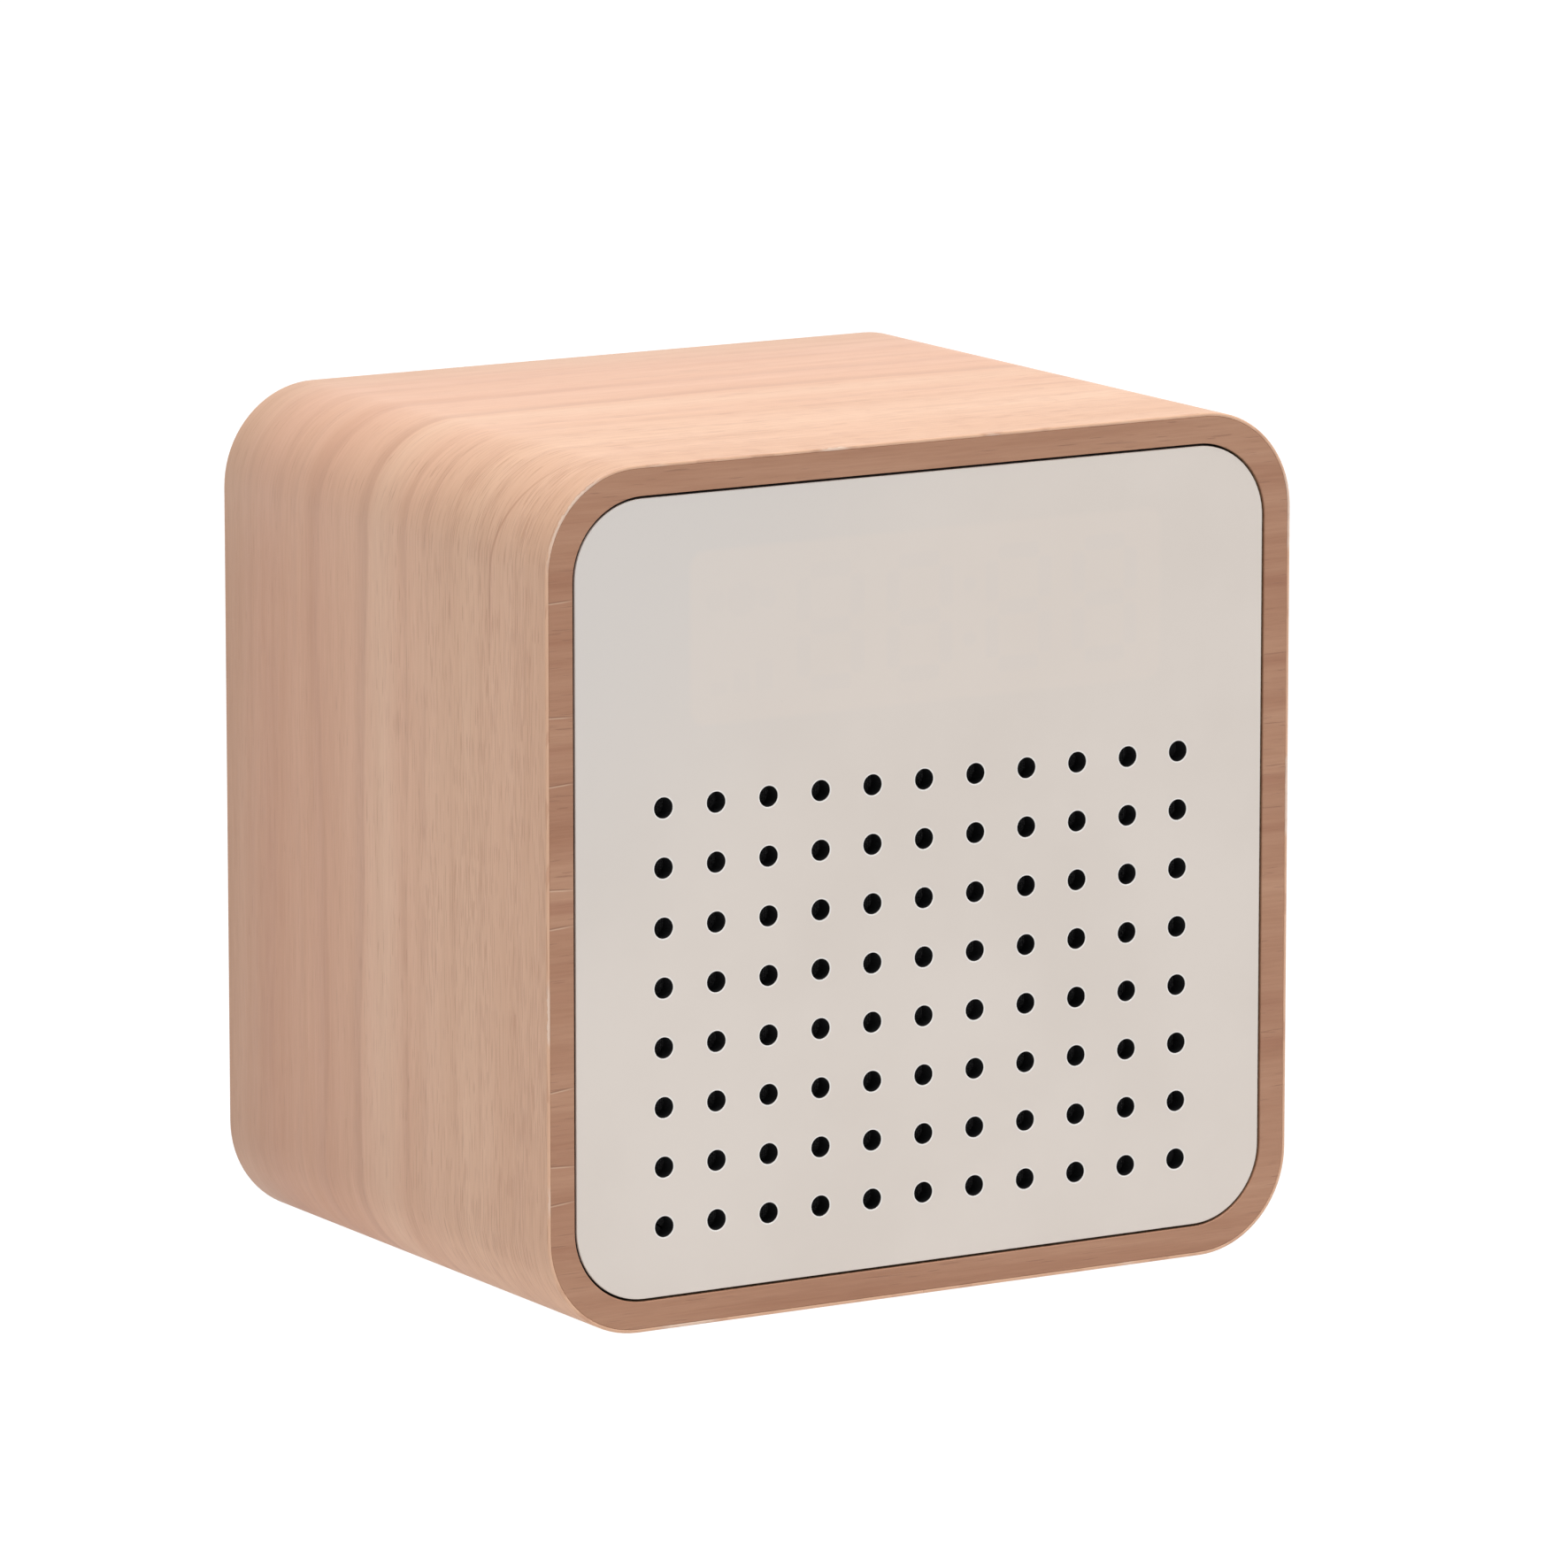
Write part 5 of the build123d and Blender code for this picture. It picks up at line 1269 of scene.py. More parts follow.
def make_turned():
    inputs = {"Outline": (OBJECT, None), "Sides": (WHOLE, 24)}
    tree, given, result = new_group("turned", "GeometryNodeTree", inputs, {"Mesh": GEOMETRY})
    outline = curve_from(tree, given["Outline"])
    size = add(tree, "GeometryNodeAttributeDomainSize", {0: outline}, component="CURVE")
    count = size.outputs["Point Count"]
    columns = plus(tree, given["Sides"], 1.0)
    grid = add(tree, "GeometryNodeMeshGrid", {"Vertices X": columns, "Vertices Y": count}).outputs["Mesh"]
    number = made(tree, "GeometryNodeInputIndex")
    row = maths(tree, "MODULO", number, count)
    column = maths(tree, "FLOOR", parted(tree, plus(tree, number, 0.5), count))
    place = made(tree, "GeometryNodeInputPosition")
    sample = add(tree, "GeometryNodeSampleIndex", data_type="FLOAT_VECTOR", domain="POINT")
    fill_in(tree, sample, {"Geometry": outline, "Value": place, "Index": row})
    parts = split(tree, sample.outputs[0])
    angle = times(tree, parted(tree, column, given["Sides"]), math.tau)
    across = times(tree, parts["X"], maths(tree, "COSINE", angle))
    upward = times(tree, parts["X"], maths(tree, "SINE", angle))
    spun = joined(tree, X=across, Y=upward, Z=times(tree, parts["Y"], -1.0))
    moved = made(tree, "GeometryNodeSetPosition", {"Geometry": grid, "Position": spun})
    closed = made(tree, "GeometryNodeMergeByDistance", {"Geometry": moved, "Distance": TURNED_MERGE})
    closed = made(tree, "GeometryNodeFlipFaces", {"Mesh": closed})
    smooth = made(tree, "GeometryNodeSetShadeSmooth", {"Geometry": closed, "Shade Smooth": True})
    turn = add(tree, "GeometryNodeInputMeshEdgeAngle").outputs["Unsigned Angle"]
    sharp = made(tree, "FunctionNodeCompare", {0: turn, 1: SHARP_ANGLE}, operation="GREATER_THAN")
    crisp = add(tree, "GeometryNodeSetShadeSmooth", domain="EDGE")
    fill_in(tree, crisp, {"Geometry": smooth, "Selection": sharp, "Shade Smooth": False})
    fill_in(tree, result, {"Mesh": crisp.outputs[0]})
    return tree


turned = make_turned()

# %% [markdown]
# ### Screws, feet and buttons
#
# The four screws of the cover have domed heads. Two thin blocks are cut from each head before the screw is
# repeated, so the cut is worked out once. They cross, but only the upright one shows, so each head has a
# single slot. The feet are plain rubber discs with a shallow hollow underneath. The buttons share one tree
# too: a dished cap with a flange, and a raised mark whose number of sides makes it a triangle or a dot. The
# tree stores an attribute on the mark, so that the finish can print it in a paler tone.

# %% Screws
SCREW_HEAD, SCREW_HEAD_HEIGHT = 2.7 * MM, 1.6 * MM
SCREW_THREAD, SCREW_THREAD_LENGTH = 1.5 * MM, 8.0 * MM
SCREW_ROUND, SCREW_SIDES = 0.6 * MM, 32
THREAD_PITCH, THREAD_DEPTH = 0.5 * MM, 0.16 * MM
CROSS_WIDTH, CROSS_SPAN, CROSS_DEPTH = 0.6 * MM, 2.97 * MM, 0.95 * MM
BLOCK_SHARES = (2.0, 1.9)


def make_screw_tree():
    inputs = {"Outline": (OBJECT, None), "Sides": (WHOLE, 32), "Cross Width": (FLOAT, 0.001),
              "Cross Span": (FLOAT, 0.001), "Cross Depth": (FLOAT, 0.001), "Head Top": (FLOAT, 0.0),
              "Spread": (VECTOR, None), "Place": (VECTOR, None), "Material": (MATERIAL, None)}
    tree, given, result = new_group("cross_screws", "GeometryNodeTree", inputs, {"Geometry": GEOMETRY})
    screw = use(tree, turned, {"Outline": given["Outline"], "Sides": given["Sides"]})["Mesh"]
    cut = add(tree, "GeometryNodeMeshBoolean", {"Mesh 1": screw}, operation="DIFFERENCE")
    up = joined(tree, Z=times(tree, given["Head Top"], -1.0))
    span, width = given["Cross Span"], given["Cross Width"]
    for size_x, size_y, share in ((span, width, BLOCK_SHARES[0]), (width, span, BLOCK_SHARES[1])):
        size = joined(tree, X=size_x, Y=size_y, Z=times(tree, given["Cross Depth"], share))
        block = made(tree, "GeometryNodeMeshCube", {"Size": size})
        block = made(tree, "GeometryNodeTransform", {"Geometry": block, "Translation": up})
        tree.links.new(block, cut.inputs["Mesh 2"])
    faces = add(tree, "GeometryNodeInputMeshEdgeNeighbors").outputs["Face Count"]
    loose = made(tree, "FunctionNodeCompare", {2: faces, 3: 0}, data_type="INT", operation="EQUAL")
    loose = {"Geometry": cut.outputs[0], "Selection": loose}
    clean = made(tree, "GeometryNodeDeleteGeometry", loose, domain="EDGE")
    spots = {"Geometry": clean, "Columns": 2, "Rows": 2, "Pitch": given["Spread"]}
    screws = use(tree, repeat_on_grid, spots)["Geometry"]
    return end_piece(tree, given, result, screws)


def screw_outline():
    """From the tip of the thread to the top of the head, as (radius, depth) from the seat of the head."""
    points = [(0, -SCREW_THREAD_LENGTH, 0), (SCREW_THREAD - THREAD_DEPTH, -SCREW_THREAD_LENGTH, 0)]
    turns = int(SCREW_THREAD_LENGTH / THREAD_PITCH) - 1
    for turn in range(turns):
        depth = THREAD_PITCH * (turn + 0.5) - SCREW_THREAD_LENGTH
        points += [(SCREW_THREAD, depth, 0), (SCREW_THREAD - THREAD_DEPTH, depth + THREAD_PITCH / 2, 0)]
    points += [(SCREW_THREAD - THREAD_DEPTH, 0, 0), (SCREW_HEAD, 0, 0),
               (SCREW_HEAD, SCREW_HEAD_HEIGHT, SCREW_ROUND), (0, SCREW_HEAD_HEIGHT, 0)]
    return curve_object("screw_outline", [rounded_line(points, 5)], False)


_, screw_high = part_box("rear_screws")
screws = run_tree(make_screw_tree(), "cover_screws", {
    "Outline": screw_outline(), "Sides": SCREW_SIDES, "Cross Width": CROSS_WIDTH, "Cross Span": CROSS_SPAN,
    "Cross Depth": CROSS_DEPTH, "Head Top": SCREW_HEAD_HEIGHT,
    "Spread": Vector((SCREW_SPREAD, SCREW_SPREAD, 0)),
    "Place": Vector((case_middle.x, screw_high.y - SCREW_HEAD_HEIGHT, case_middle.z)),
})
hand_over(screws, "case", "screw_steel", "rear_screws")

# %% Feet
foot_low, foot_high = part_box("rubber_feet")
FOOT_RADIUS, FOOT_ROUND, FOOT_HOLLOW, FOOT_HOLLOW_RADIUS = 4.5 * MM, 0.35 * MM, 0.15 * MM, 3.2 * MM


def make_feet_tree():
    inputs = {"Outline": (OBJECT, None), "Sides": (WHOLE, 40), "Spread": (VECTOR, None),
              "Place": (VECTOR, None), "Material": (MATERIAL, None)}
    tree, given, result = new_group("feet", "GeometryNodeTree", inputs, {"Geometry": GEOMETRY})
    foot = use(tree, turned, {"Outline": given["Outline"], "Sides": given["Sides"]})["Mesh"]
    spots = {"Geometry": foot, "Columns": 2, "Rows": 2, "Pitch": given["Spread"]}
    feet = use(tree, repeat_on_grid, spots)["Geometry"]
    placed = made(tree, "GeometryNodeTransform", {"Geometry": feet, "Translation": given["Place"]})
    single = made(tree, "GeometryNodeRealizeInstances", {"Geometry": placed})
    dressed = add(tree, "GeometryNodeSetMaterial", {"Geometry": single, "Material": given["Material"]})
    fill_in(tree, result, {"Geometry": dressed.outputs[0]})
    return tree


foot_height = foot_high.z - foot_low.z
foot_line = rounded_line([
    (0, -foot_height, 0), (FOOT_RADIUS, -foot_height, 0), (FOOT_RADIUS, 0, FOOT_ROUND),
    (FOOT_HOLLOW_RADIUS + FOOT_HOLLOW, 0, 0), (FOOT_HOLLOW_RADIUS, -FOOT_HOLLOW, 0), (0, -FOOT_HOLLOW, 0),
], 5)
feet = run_tree(make_feet_tree(), "soft_feet", {
    "Outline": curve_object("foot_outline", [foot_line], False), "Sides": 40,
    "Spread": foot_high - foot_low - Vector((2, 2, 0)) * FOOT_RADIUS,
    "Place": Vector(((foot_low.x + foot_high.x) / 2, (foot_low.y + foot_high.y) / 2, foot_low.z)),
})
hand_over(feet, "case", "foot_rubber", "rubber_feet")

# %% Buttons
CAP_RADIUS, CAP_ROUND, CAP_DISH, CAP_PROUD = 3.5 * MM, 0.5 * MM, 0.22 * MM, 1.0 * MM
DISH_RADIUS, DISH_RINGS = CAP_RADIUS - CAP_ROUND - 0.15 * MM, 5
FLANGE_RADIUS, FLANGE_THICKNESS, STEM_RADIUS = 4.4 * MM, 1.0 * MM, 1.75 * MM
FLANGE_GAP = 0.1 * MM
MARK_RADIUS, MARK_HEIGHT = 1.3 * MM, 0.2 * MM
BUTTON_MARKS = {"down": (3, math.radians(-90)), "set": (24, 0.0), "up": (3, math.radians(90))}


def make_button_tree():
    inputs = {"Outline": (OBJECT, None), "Sides": (WHOLE, 48), "Mark Sides": (WHOLE, 3),
              "Mark Radius": (FLOAT, 0.001), "Mark Height": (FLOAT, 0.0002), "Mark Depth": (FLOAT, 0.0),
              "Mark Turn": (VECTOR, (0, 0, 0)), "Place": (VECTOR, None), "Material": (MATERIAL, None)}
    tree, given, result = new_group("button", "GeometryNodeTree", inputs, {"Geometry": GEOMETRY})
    cap = use(tree, turned, {"Outline": given["Outline"], "Sides": given["Sides"]})["Mesh"]
    sizes = {"Vertices": given["Mark Sides"], "Radius": given["Mark Radius"],
             "Depth": times(tree, given["Mark Height"], 2.0)}
    mark = add(tree, "GeometryNodeMeshCylinder", sizes).outputs["Mesh"]
    stored = {"Geometry": mark, "Name": "mark", "Value": 1.0}
    mark = made(tree, "GeometryNodeStoreNamedAttribute", stored, data_type="FLOAT", domain="POINT")
    up = joined(tree, Z=times(tree, given["Mark Depth"], -1.0))
    placed = {"Geometry": mark, "Translation": up, "Rotation": given["Mark Turn"]}
    mark = made(tree, "GeometryNodeTransform", placed)
    return end_piece(tree, given, result, together(tree, cap, mark))


def button_outline():
    """From the foot of the stem to the dished top, as (radius, depth) from the cover's inner face."""
    button_low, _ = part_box("set_button")
    stem_foot = button_low.y - cover_inner_y
    top = cover_thickness + CAP_PROUD
    flange_foot = -FLANGE_GAP - FLANGE_THICKNESS
    points = [(0, stem_foot, 0), (STEM_RADIUS, stem_foot, 0), (STEM_RADIUS, flange_foot, 0),
              (FLANGE_RADIUS, flange_foot, 0), (FLANGE_RADIUS, -FLANGE_GAP, 0),
              (CAP_RADIUS, -FLANGE_GAP, 0), (CAP_RADIUS, top, CAP_ROUND)]
    for ring in range(DISH_RINGS + 1):
        inward = ring / DISH_RINGS
        points.append((DISH_RADIUS * (1 - inward), top - CAP_DISH * (1 - (1 - inward) ** 2), 0))
    return curve_object("button_outline", [rounded_line(points, 5)], False)


def make_button(name, centre_x):
    sides, turn = BUTTON_MARKS[name]
    mark_depth = cover_thickness + CAP_PROUD - CAP_DISH
    piece = run_tree(button_tree, name + "_cap", {
        "Outline": button_line, "Sides": 48, "Mark Sides": sides, "Mark Radius": MARK_RADIUS,
        "Mark Height": MARK_HEIGHT, "Mark Depth": mark_depth, "Mark Turn": Vector((0, 0, turn)),
        "Place": Vector((case_middle.x + centre_x, cover_inner_y, case_middle.z + BUTTON_LIFT)),
    })
    hand_over(piece, name + "_key", "button_plastic", name + "_button")
    return piece


button_tree = make_button_tree()
button_line = button_outline()
places = {"down": -BUTTON_PITCH, "set": 0.0, "up": BUTTON_PITCH}
caps = [make_button(name, place) for name, place in places.items()]

# %% [markdown]
# ### Power socket shell
#
# The metal shell of the socket is a short oval tube. To the ring tree it is just a very deep ring, so it
# needs no tree of its own.

# %% Socket shell
SHELL_WALL, SHELL_ROUND, OVAL_SHARE = 0.3 * MM, 0.1 * MM, 0.48


def make_shell():
    shell_low, shell_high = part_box("socket_shell")
    size = shell_high - shell_low
    inner_x, inner_z = size.x - 2 * SHELL_WALL, size.z - 2 * SHELL_WALL
    outer = rounded_outline(size.x, size.z, size.z * OVAL_SHARE, ROUND_STEPS)
    inner = rounded_outline(inner_x, inner_z, inner_z * OVAL_SHARE, ROUND_STEPS)[::-1]
    shell = run_tree(ring_tree, "socket_tube", {
        "Outlines": curve_object("shell_outlines", [outer, inner], True),
        "Section": edge_section("shell_section", size.y, SHELL_ROUND, SHELL_ROUND),
        "Thickness": size.y,
        "Place": Vector((case_middle.x, shell_low.y, case_middle.z + SOCKET_LIFT)),
    })
    hand_over(shell, "case", "can_steel", "socket_shell")
    return shell


socket_tube = make_shell()

# %% [markdown]
# ## Finishes for the plastics
#
# Most small parts are moulded plastic, which differs in colour, gloss and the grain of its mould, and in
# little else. So one function makes them all from a table: two close tones for the cloudiness, how rough
# the surface is, and the size and depth of its grain. Rubber and foam are in the table too, with a coarser
# grain.

# %% Plastic finishes
# name: darker tone, paler tone, roughness, grain size in mm, grain depth in mm, dust
PLASTICS = {
    "black_moulding": ((0.016, 0.016, 0.017), (0.026, 0.026, 0.028), 0.50, 0.25, 0.010, 0.25),
    "cover_plastic": ((0.028, 0.027, 0.027), (0.040, 0.039, 0.038), 0.55, 0.30, 0.016, 0.45),
    "button_plastic": ((0.085, 0.084, 0.083), (0.105, 0.104, 0.102), 0.42, 0.18, 0.006, 0.30),
    "foot_rubber": ((0.022, 0.022, 0.022), (0.042, 0.041, 0.040), 0.80, 0.35, 0.030, 0.60),
    "chip_black": ((0.020, 0.020, 0.021), (0.032, 0.032, 0.033), 0.58, 0.12, 0.008, 0.10),
    "ferrite_black": ((0.050, 0.048, 0.047), (0.085, 0.082, 0.080), 0.70, 0.16, 0.020, 0.10),
    "connector_cream": ((0.720, 0.650, 0.500), (0.780, 0.715, 0.570), 0.40, 0.20, 0.005, 0.10),
    "display_white": ((0.740, 0.735, 0.715), (0.790, 0.785, 0.770), 0.48, 0.25, 0.008, 0.15),
    "light_guide": ((0.800, 0.800, 0.780), (0.860, 0.860, 0.845), 0.22, 0.40, 0.004, 0.05),
    "led_resin": ((0.700, 0.640, 0.300), (0.800, 0.750, 0.430), 0.25, 0.15, 0.004, 0.05),
    "gasket_foam": ((0.045, 0.045, 0.047), (0.090, 0.090, 0.093), 0.92, 0.45, 0.120, 0.30),
}


def make_plastic(name):
    darker, paler, rough, grain_size, grain_depth, dusty = PLASTICS[name]
    material, tree, shader, place = new_finish(name, Roughness=rough)
    face = use(tree, moulded_face, {"Vector": place, "Grain Size": grain_size * MM})
    colour = mixed(tree, eased(tree, face["Clouds"], 0.3, 0.7), (*darker, 1), (*paler, 1))
    colour = laid_over(tree, colour, face["Dust"], dusty, (0.42, 0.38, 0.34, 1))
    if name == "button_plastic":
        printed = add(tree, "ShaderNodeAttribute", attribute_name="mark").outputs["Fac"]
        colour = laid_over(tree, colour, printed, 0.8, (0.62, 0.61, 0.60, 1))
    normal = bumped(tree, face["Grain"], grain_depth * MM)
    roughness = eased(tree, face["Clouds"], 0.3, 0.7, rough - 0.05, rough + 0.05)
    fill_in(tree, shader, {"Base Color": colour, "Roughness": roughness, "Normal": normal})
    return material


finishes = {name: make_plastic(name) for name in PLASTICS}
print(len(PLASTICS), "plastics")

# %% [markdown]
# ## Finishes for the metals
#
# A rolled or plated metal has fine lines one way, a few longer scratches, and smudges that dull it in
# patches. One group makes those three masks, and a table gives each metal its colour, its gloss and how its
# lines run: long along one axis for rolled sheet, nearly round for plating. The metals keep a plain
# Metallic of one.

# %% Metal finishes
def make_worked_metal():
    inputs = {"Vector": (VECTOR, None), "Stretch": (VECTOR, (1, 1, 1))}
    outputs = {"Lines": FLOAT, "Scratches": FLOAT, "Smudges": FLOAT}
    tree, given, result = new_group("worked_metal", "ShaderNodeTree", inputs, outputs)
    stretched = scaled(tree, given["Vector"], given["Stretch"])
    lines = noise(tree, stretched, (1800, 1800, 1800), 2.0, 0.6)
    scratch_noise = noise(tree, stretched, (420, 900, 420), 1.0)
    narrow = unsigned(tree, less(tree, scratch_noise, 0.5))
    somewhere = eased(tree, noise(tree, given["Vector"], (90, 90, 90), 1.0), 0.5, 0.62)
    scratches = times(tree, eased(tree, narrow, 0.002, 0.012, 1.0, 0.0), somewhere)
    smudges = eased(tree, noise(tree, given["Vector"], (150, 150, 150), 3.0, 0.6), 0.42, 0.68)
    fill_in(tree, result, {"Lines": lines, "Scratches": scratches, "Smudges": smudges})
    return tree


worked_metal = make_worked_metal()
METAL_RELIEF = 0.006 * MM

# name: darker tone, paler tone, least and most roughness, stretch of the lines
METALS = {
    "screw_steel": ((0.100, 0.100, 0.105), (0.170, 0.170, 0.175), 0.28, 0.45, (1.0, 0.25, 1.0)),
    "spacer_brass": ((0.600, 0.430, 0.180), (0.720, 0.540, 0.260), 0.25, 0.42, (1.0, 0.10, 1.0)),
    "gold_plate": ((0.780, 0.580, 0.250), (0.880, 0.690, 0.340), 0.18, 0.32, (1.0, 1.0, 0.3)),
    "pin_tin": ((0.620, 0.610, 0.590), (0.740, 0.730, 0.710), 0.22, 0.38, (1.0, 0.2, 1.0)),
    "can_steel": ((0.520, 0.520, 0.530), (0.640, 0.640, 0.650), 0.24, 0.40, (0.15, 1.0, 1.0)),
    "can_aluminium": ((0.680, 0.685, 0.700), (0.790, 0.795, 0.810), 0.20, 0.36, (1.0, 0.15, 1.0)),
}


def make_metal(name):
    darker, paler, smooth, rough, stretch = METALS[name]
    material, tree, shader, place = new_finish(name, Metallic=1.0, Roughness=rough)
    worn = use(tree, worked_metal, {"Vector": place, "Stretch": stretch})
    colour = mixed(tree, eased(tree, worn["Lines"], 0.3, 0.7), (*darker, 1), (*paler, 1))
    colour = laid_over(tree, colour, worn["Smudges"], 0.35, (*darker, 1))
    roughness = eased(tree, plus(tree, worn["Lines"], worn["Smudges"]), 0.3, 1.5, smooth, rough)
    height = less(tree, worn["Lines"], worn["Scratches"])
    normal = bumped(tree, height, METAL_RELIEF)
    fill_in(tree, shader, {"Base Color": colour, "Roughness": roughness, "Normal": normal})
    return material


finishes.update({name: make_metal(name) for name in METALS})
print(len(METALS), "metals")

# %% [markdown]
# ## Cloth and filter
#
# Behind both grilles is a thin black cloth, and the gas cell has a white dust filter. Both are plain weaves
# at different sizes. In a plain weave each thread goes over one crossing thread and under the next, so a
# chequered pattern chooses which of two rounded thread shapes lies on top.

# %% Woven finishes
def make_plain_weave():
    inputs = {"Across": (FLOAT, 0.0), "Up": (FLOAT, 0.0), "Thread": (FLOAT, 0.0002)}
    outputs = {"Height": FLOAT, "Tone": FLOAT}
    tree, given, result = new_group("plain_weave", "ShaderNodeTree", inputs, outputs)
    rounds, cells = [], []
    for place in ("Across", "Up"):
        count = parted(tree, given[place], given["Thread"])
        rounds.append(unsigned(tree, maths(tree, "SINE", times(tree, count, math.pi))))
        cells.append(maths(tree, "FLOOR", count))
    over = unsigned(tree, maths(tree, "MODULO", plus(tree, *cells), 2.0))
    first = times(tree, rounds[0], maths(tree, "MULTIPLY_ADD", over, 0.6, 0.4))
    second = times(tree, rounds[1], maths(tree, "MULTIPLY_ADD", over, -0.6, 1.0))
    height = larger(tree, first, second)
    fuzz = noise(tree, joined(tree, X=given["Across"], Z=given["Up"]), (6000, 1, 6000))
    fill_in(tree, result, {"Height": height, "Tone": times(tree, height, plus(tree, fuzz, 0.5))})
    return tree


plain_weave = make_plain_weave()


def make_cloth(name, gap, thread_colour, thread, rough):
    material, tree, shader, place = new_finish(name, Roughness=rough, Sheen_Weight=0.3, Sheen_Roughness=0.5)
    parts = split(tree, place)
    weave = use(tree, plain_weave, {"Across": parts["X"], "Up": parts["Z"], "Thread": thread * MM})
    colour = mixed(tree, eased(tree, weave["Tone"], 0.1, 1.0), (*gap, 1), (*thread_colour, 1))
    normal = bumped(tree, weave["Height"], thread * MM * 0.3)
    fill_in(tree, shader, {"Base Color": colour, "Normal": normal})
    return material


finishes["black_cloth"] = make_cloth("black_cloth", (0.004, 0.004, 0.004), (0.030, 0.030, 0.032), 0.32, 0.9)
finishes["filter_white"] = make_cloth("filter_white", (0.50, 0.50, 0.48), (0.86, 0.86, 0.84), 0.12, 0.85)

# %% [markdown]
# ## Board, circuit boards, cable, glue and glass
#
# These five need their own patterns. The case is fibreboard, which shows pressed fibres in all directions.
# A circuit board has copper tracks under its green lacquer, drawn here as the borders of square cells that
# run only along the two axes. The flat cable has ridges for its conductors, with painted shade in the
# grooves between them. Glue and glass let light through, so their transmission stays a plain value.

# %% Other inside finishes
CONDUCTOR_PITCH = 1.0 * MM


def make_fibreboard():
    material, tree, shader, place = new_finish("fibreboard", Roughness=0.9)
    long_fibres = noise(tree, place, (300, 1500, 1500), 3.0, 0.65)
    cross_fibres = noise(tree, place, (1500, 300, 1500), 3.0, 0.65)
    fibres = larger(tree, long_fibres, cross_fibres)
    colour = mixed(tree, eased(tree, fibres, 0.4, 0.75), (0.300, 0.190, 0.105, 1), (0.520, 0.370, 0.230, 1))
    flecks = eased(tree, noise(tree, place, (700, 700, 700), 1.0), 0.66, 0.74, 0.0, 0.6)
    colour = mixed(tree, flecks, colour, (0.130, 0.075, 0.040, 1))
    fill_in(tree, shader, {"Base Color": colour, "Normal": bumped(tree, fibres, 0.00008)})
    return material


def make_circuit_board():
    material, tree, shader, place = new_finish("circuit_board", Roughness=0.35, Coat_Weight=0.4)
    cells = {"Vector": scaled(tree, place, (1, 0, 1)), "Scale": 260.0, "Randomness": 0.85}
    nearest, second = (
        add(tree, "ShaderNodeTexVoronoi", cells, distance="CHEBYCHEV", feature=feature).outputs["Distance"]
        for feature in ("F1", "F2")
    )
    tracks = eased(tree, less(tree, second, nearest), 0.10, 0.14, 1.0, 0.0)
    holes = eased(tree, nearest, 0.07, 0.09, 1.0, 0.0)
    lacquer = eased(tree, noise(tree, place, (60, 60, 60), 2.0), 0.3, 0.7)
    colour = mixed(tree, lacquer, (0.008, 0.075, 0.030, 1), (0.012, 0.100, 0.042, 1))
    colour = laid_over(tree, colour, tracks, 0.7, (0.040, 0.210, 0.085, 1))
    colour = mixed(tree, holes, colour, (0.620, 0.600, 0.520, 1))
    height = plus(tree, tracks, times(tree, holes, -0.5))
    fill_in(tree, shader, {"Base Color": colour, "Normal": bumped(tree, height, 0.00002)})
    return material


def make_flat_cable():
    material, tree, shader, place = new_finish("cable_white", Roughness=0.4)
    across = split(tree, place)["X"]
    ridge = unsigned(tree, maths(tree, "SINE", times(tree, across, math.pi / CONDUCTOR_PITCH)))
    face = use(tree, moulded_face, {"Vector": place, "Grain Size": 0.2 * MM})
    # painted shade: darker in the grooves between the conductor ridges
    colour = mixed(tree, eased(tree, ridge, 0.1, 0.7), (0.560, 0.560, 0.570, 1), (0.800, 0.800, 0.810, 1))
    colour = mixed(tree, eased(tree, face["Clouds"], 0.4, 0.7, 0.0, 0.3), colour, (0.700, 0.690, 0.660, 1))
    fill_in(tree, shader, {"Base Color": colour, "Normal": bumped(tree, ridge, 0.00006)})
    return material


def make_clear(name, tone, other_tone, rough, transmission):
    material, tree, shader, place = new_finish(name, Roughness=rough, Transmission_Weight=transmission)
    ripples = noise(tree, place, (120, 120, 120), 2.0)
    colour = mixed(tree, eased(tree, ripples, 0.3, 0.7), (*tone, 1), (*other_tone, 1))
    fill_in(tree, shader, {"Base Color": colour, "Normal": bumped(tree, ripples, 0.00002)})
    return material


finishes["fibreboard"] = make_fibreboard()
finishes["circuit_board"] = make_circuit_board()
finishes["cable_white"] = make_flat_cable()
finishes["clear_glue"] = make_clear("clear_glue", (0.86, 0.83, 0.74), (0.80, 0.76, 0.66), 0.2, 0.6)
finishes["lamp_glass"] = make_clear("lamp_glass", (0.90, 0.93, 0.92), (0.82, 0.87, 0.86), 0.04, 0.9)

# %% [markdown]
# ### Contacts on the socket's tongue
#
# The tongue in the power socket is black plastic with a row of gilded contacts on both of its faces. The
# contacts are flush, so stripes in the finish are enough: a repeating wave along X, kept to the two faces.

# %% Tongue finish
CONTACT_PITCH, CONTACT_HALF_ROW = 0.5 * MM, 3.0 * MM


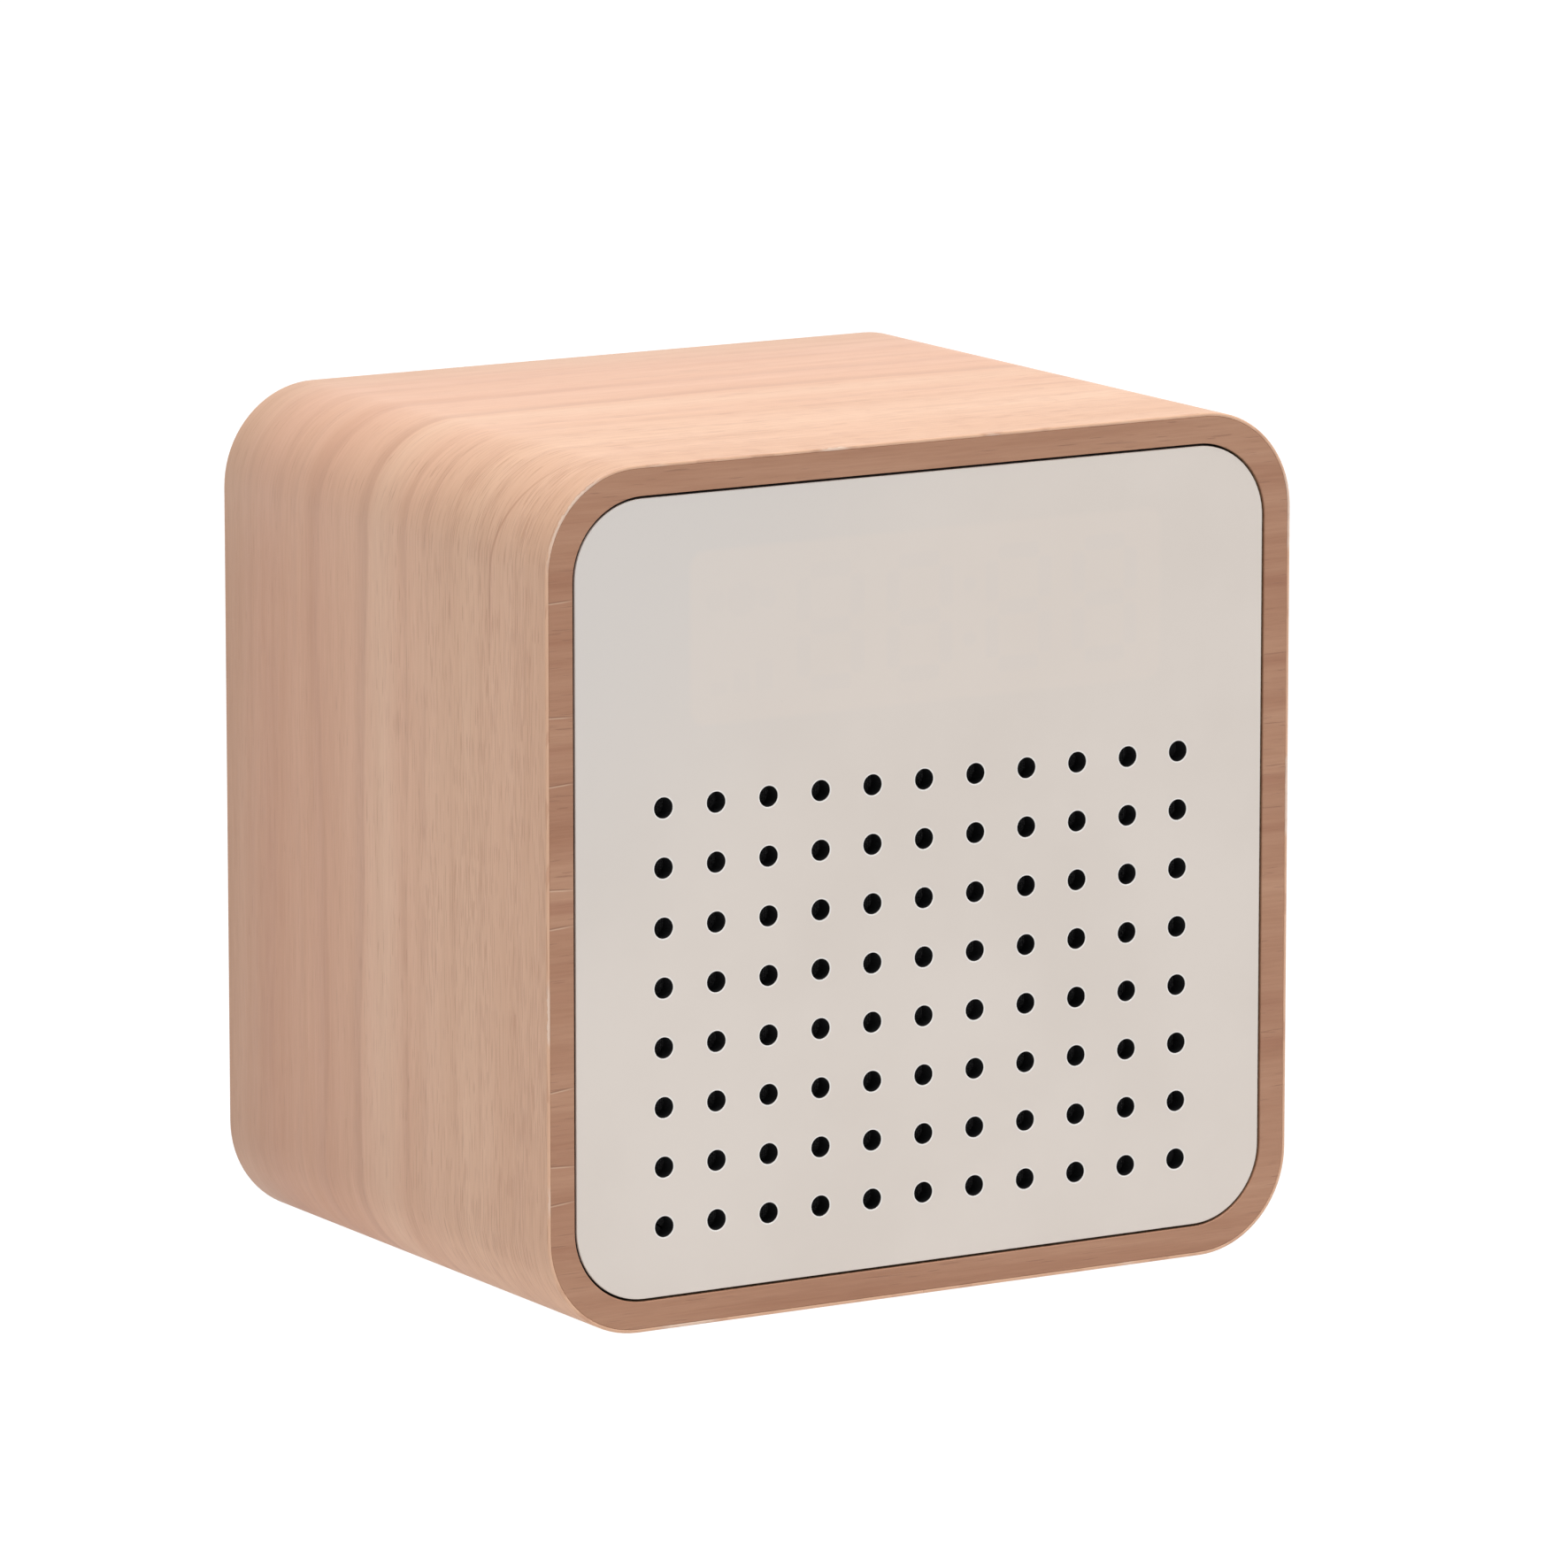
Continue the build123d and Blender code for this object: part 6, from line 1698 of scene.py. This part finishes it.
def make_tongue():
    material, tree, shader, place = new_finish("tongue_contacts", Roughness=0.4)
    parts = split(tree, place)
    wave = unsigned(tree, maths(tree, "SINE", times(tree, parts["X"], math.pi / CONTACT_PITCH)))
    stripes = eased(tree, wave, 0.62, 0.70)
    in_row = eased(tree, unsigned(tree, parts["X"]), CONTACT_HALF_ROW, CONTACT_HALF_ROW * 1.02, 1.0, 0.0)
    facing = add(tree, "ShaderNodeNewGeometry").outputs["Normal"]
    upright = unsigned(tree, split(tree, facing)["Z"])
    contact = times(tree, times(tree, stripes, in_row), eased(tree, upright, 0.8, 0.9))
    face = use(tree, moulded_face, {"Vector": place, "Grain Size": 0.1 * MM})
    clouds = eased(tree, face["Clouds"], 0.3, 0.7)
    plastic = mixed(tree, clouds, (0.018, 0.018, 0.019, 1), (0.030, 0.030, 0.031, 1))
    colour = mixed(tree, contact, plastic, (0.830, 0.640, 0.300, 1))
    roughness = eased(tree, contact, 0.0, 1.0, 0.45, 0.25)
    fill_in(tree, shader, {"Base Color": colour, "Metallic": contact, "Roughness": roughness})
    return material


tongue_contacts = make_tongue()

# %% [markdown]
# ## Dressing everything
#
# The record gives each CAD node the name of its material, and the finishes above have the same names. One
# loop puts them on the slots of the nodes that stay as they are, and the replaced pieces take theirs in the
# same way. A CAD node's mesh is never touched: only the material in its slot changes.

# %% Dress the nodes and the new pieces
finishes["opal_plastic"] = skin.data.materials[0]
finishes["side_veneer"] = side_veneer
finishes["edge_veneer"] = edge_veneer


def dress_node(name, material):
    """Puts a material in every slot of a CAD node's object."""
    for slot in cad_nodes[name].material_slots:
        slot.material = material


for name in cad_nodes:
    dress_node(name, finishes[node_slots[name]])
dress_node("socket_tongue", tongue_contacts)
for piece, finish in ((cover, "cover_plastic"), (screws, "screw_steel"), (feet, "foot_rubber"),
                      (socket_tube, "can_steel"), *((cap, "button_plastic") for cap in caps)):
    dress(piece, finishes[finish])
print(len(cad_nodes), "nodes dressed with", len(finishes) + 1, "finishes")

# %% Check and finish
visual_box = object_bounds()
for axis, name in enumerate("XYZ"):
    grown = max(cad_box[0][axis] - visual_box[0][axis], visual_box[1][axis] - cad_box[1][axis])
    print(name, "stands proud of the CAD box by", round(max(grown, 0) / MM, 3), "mm")
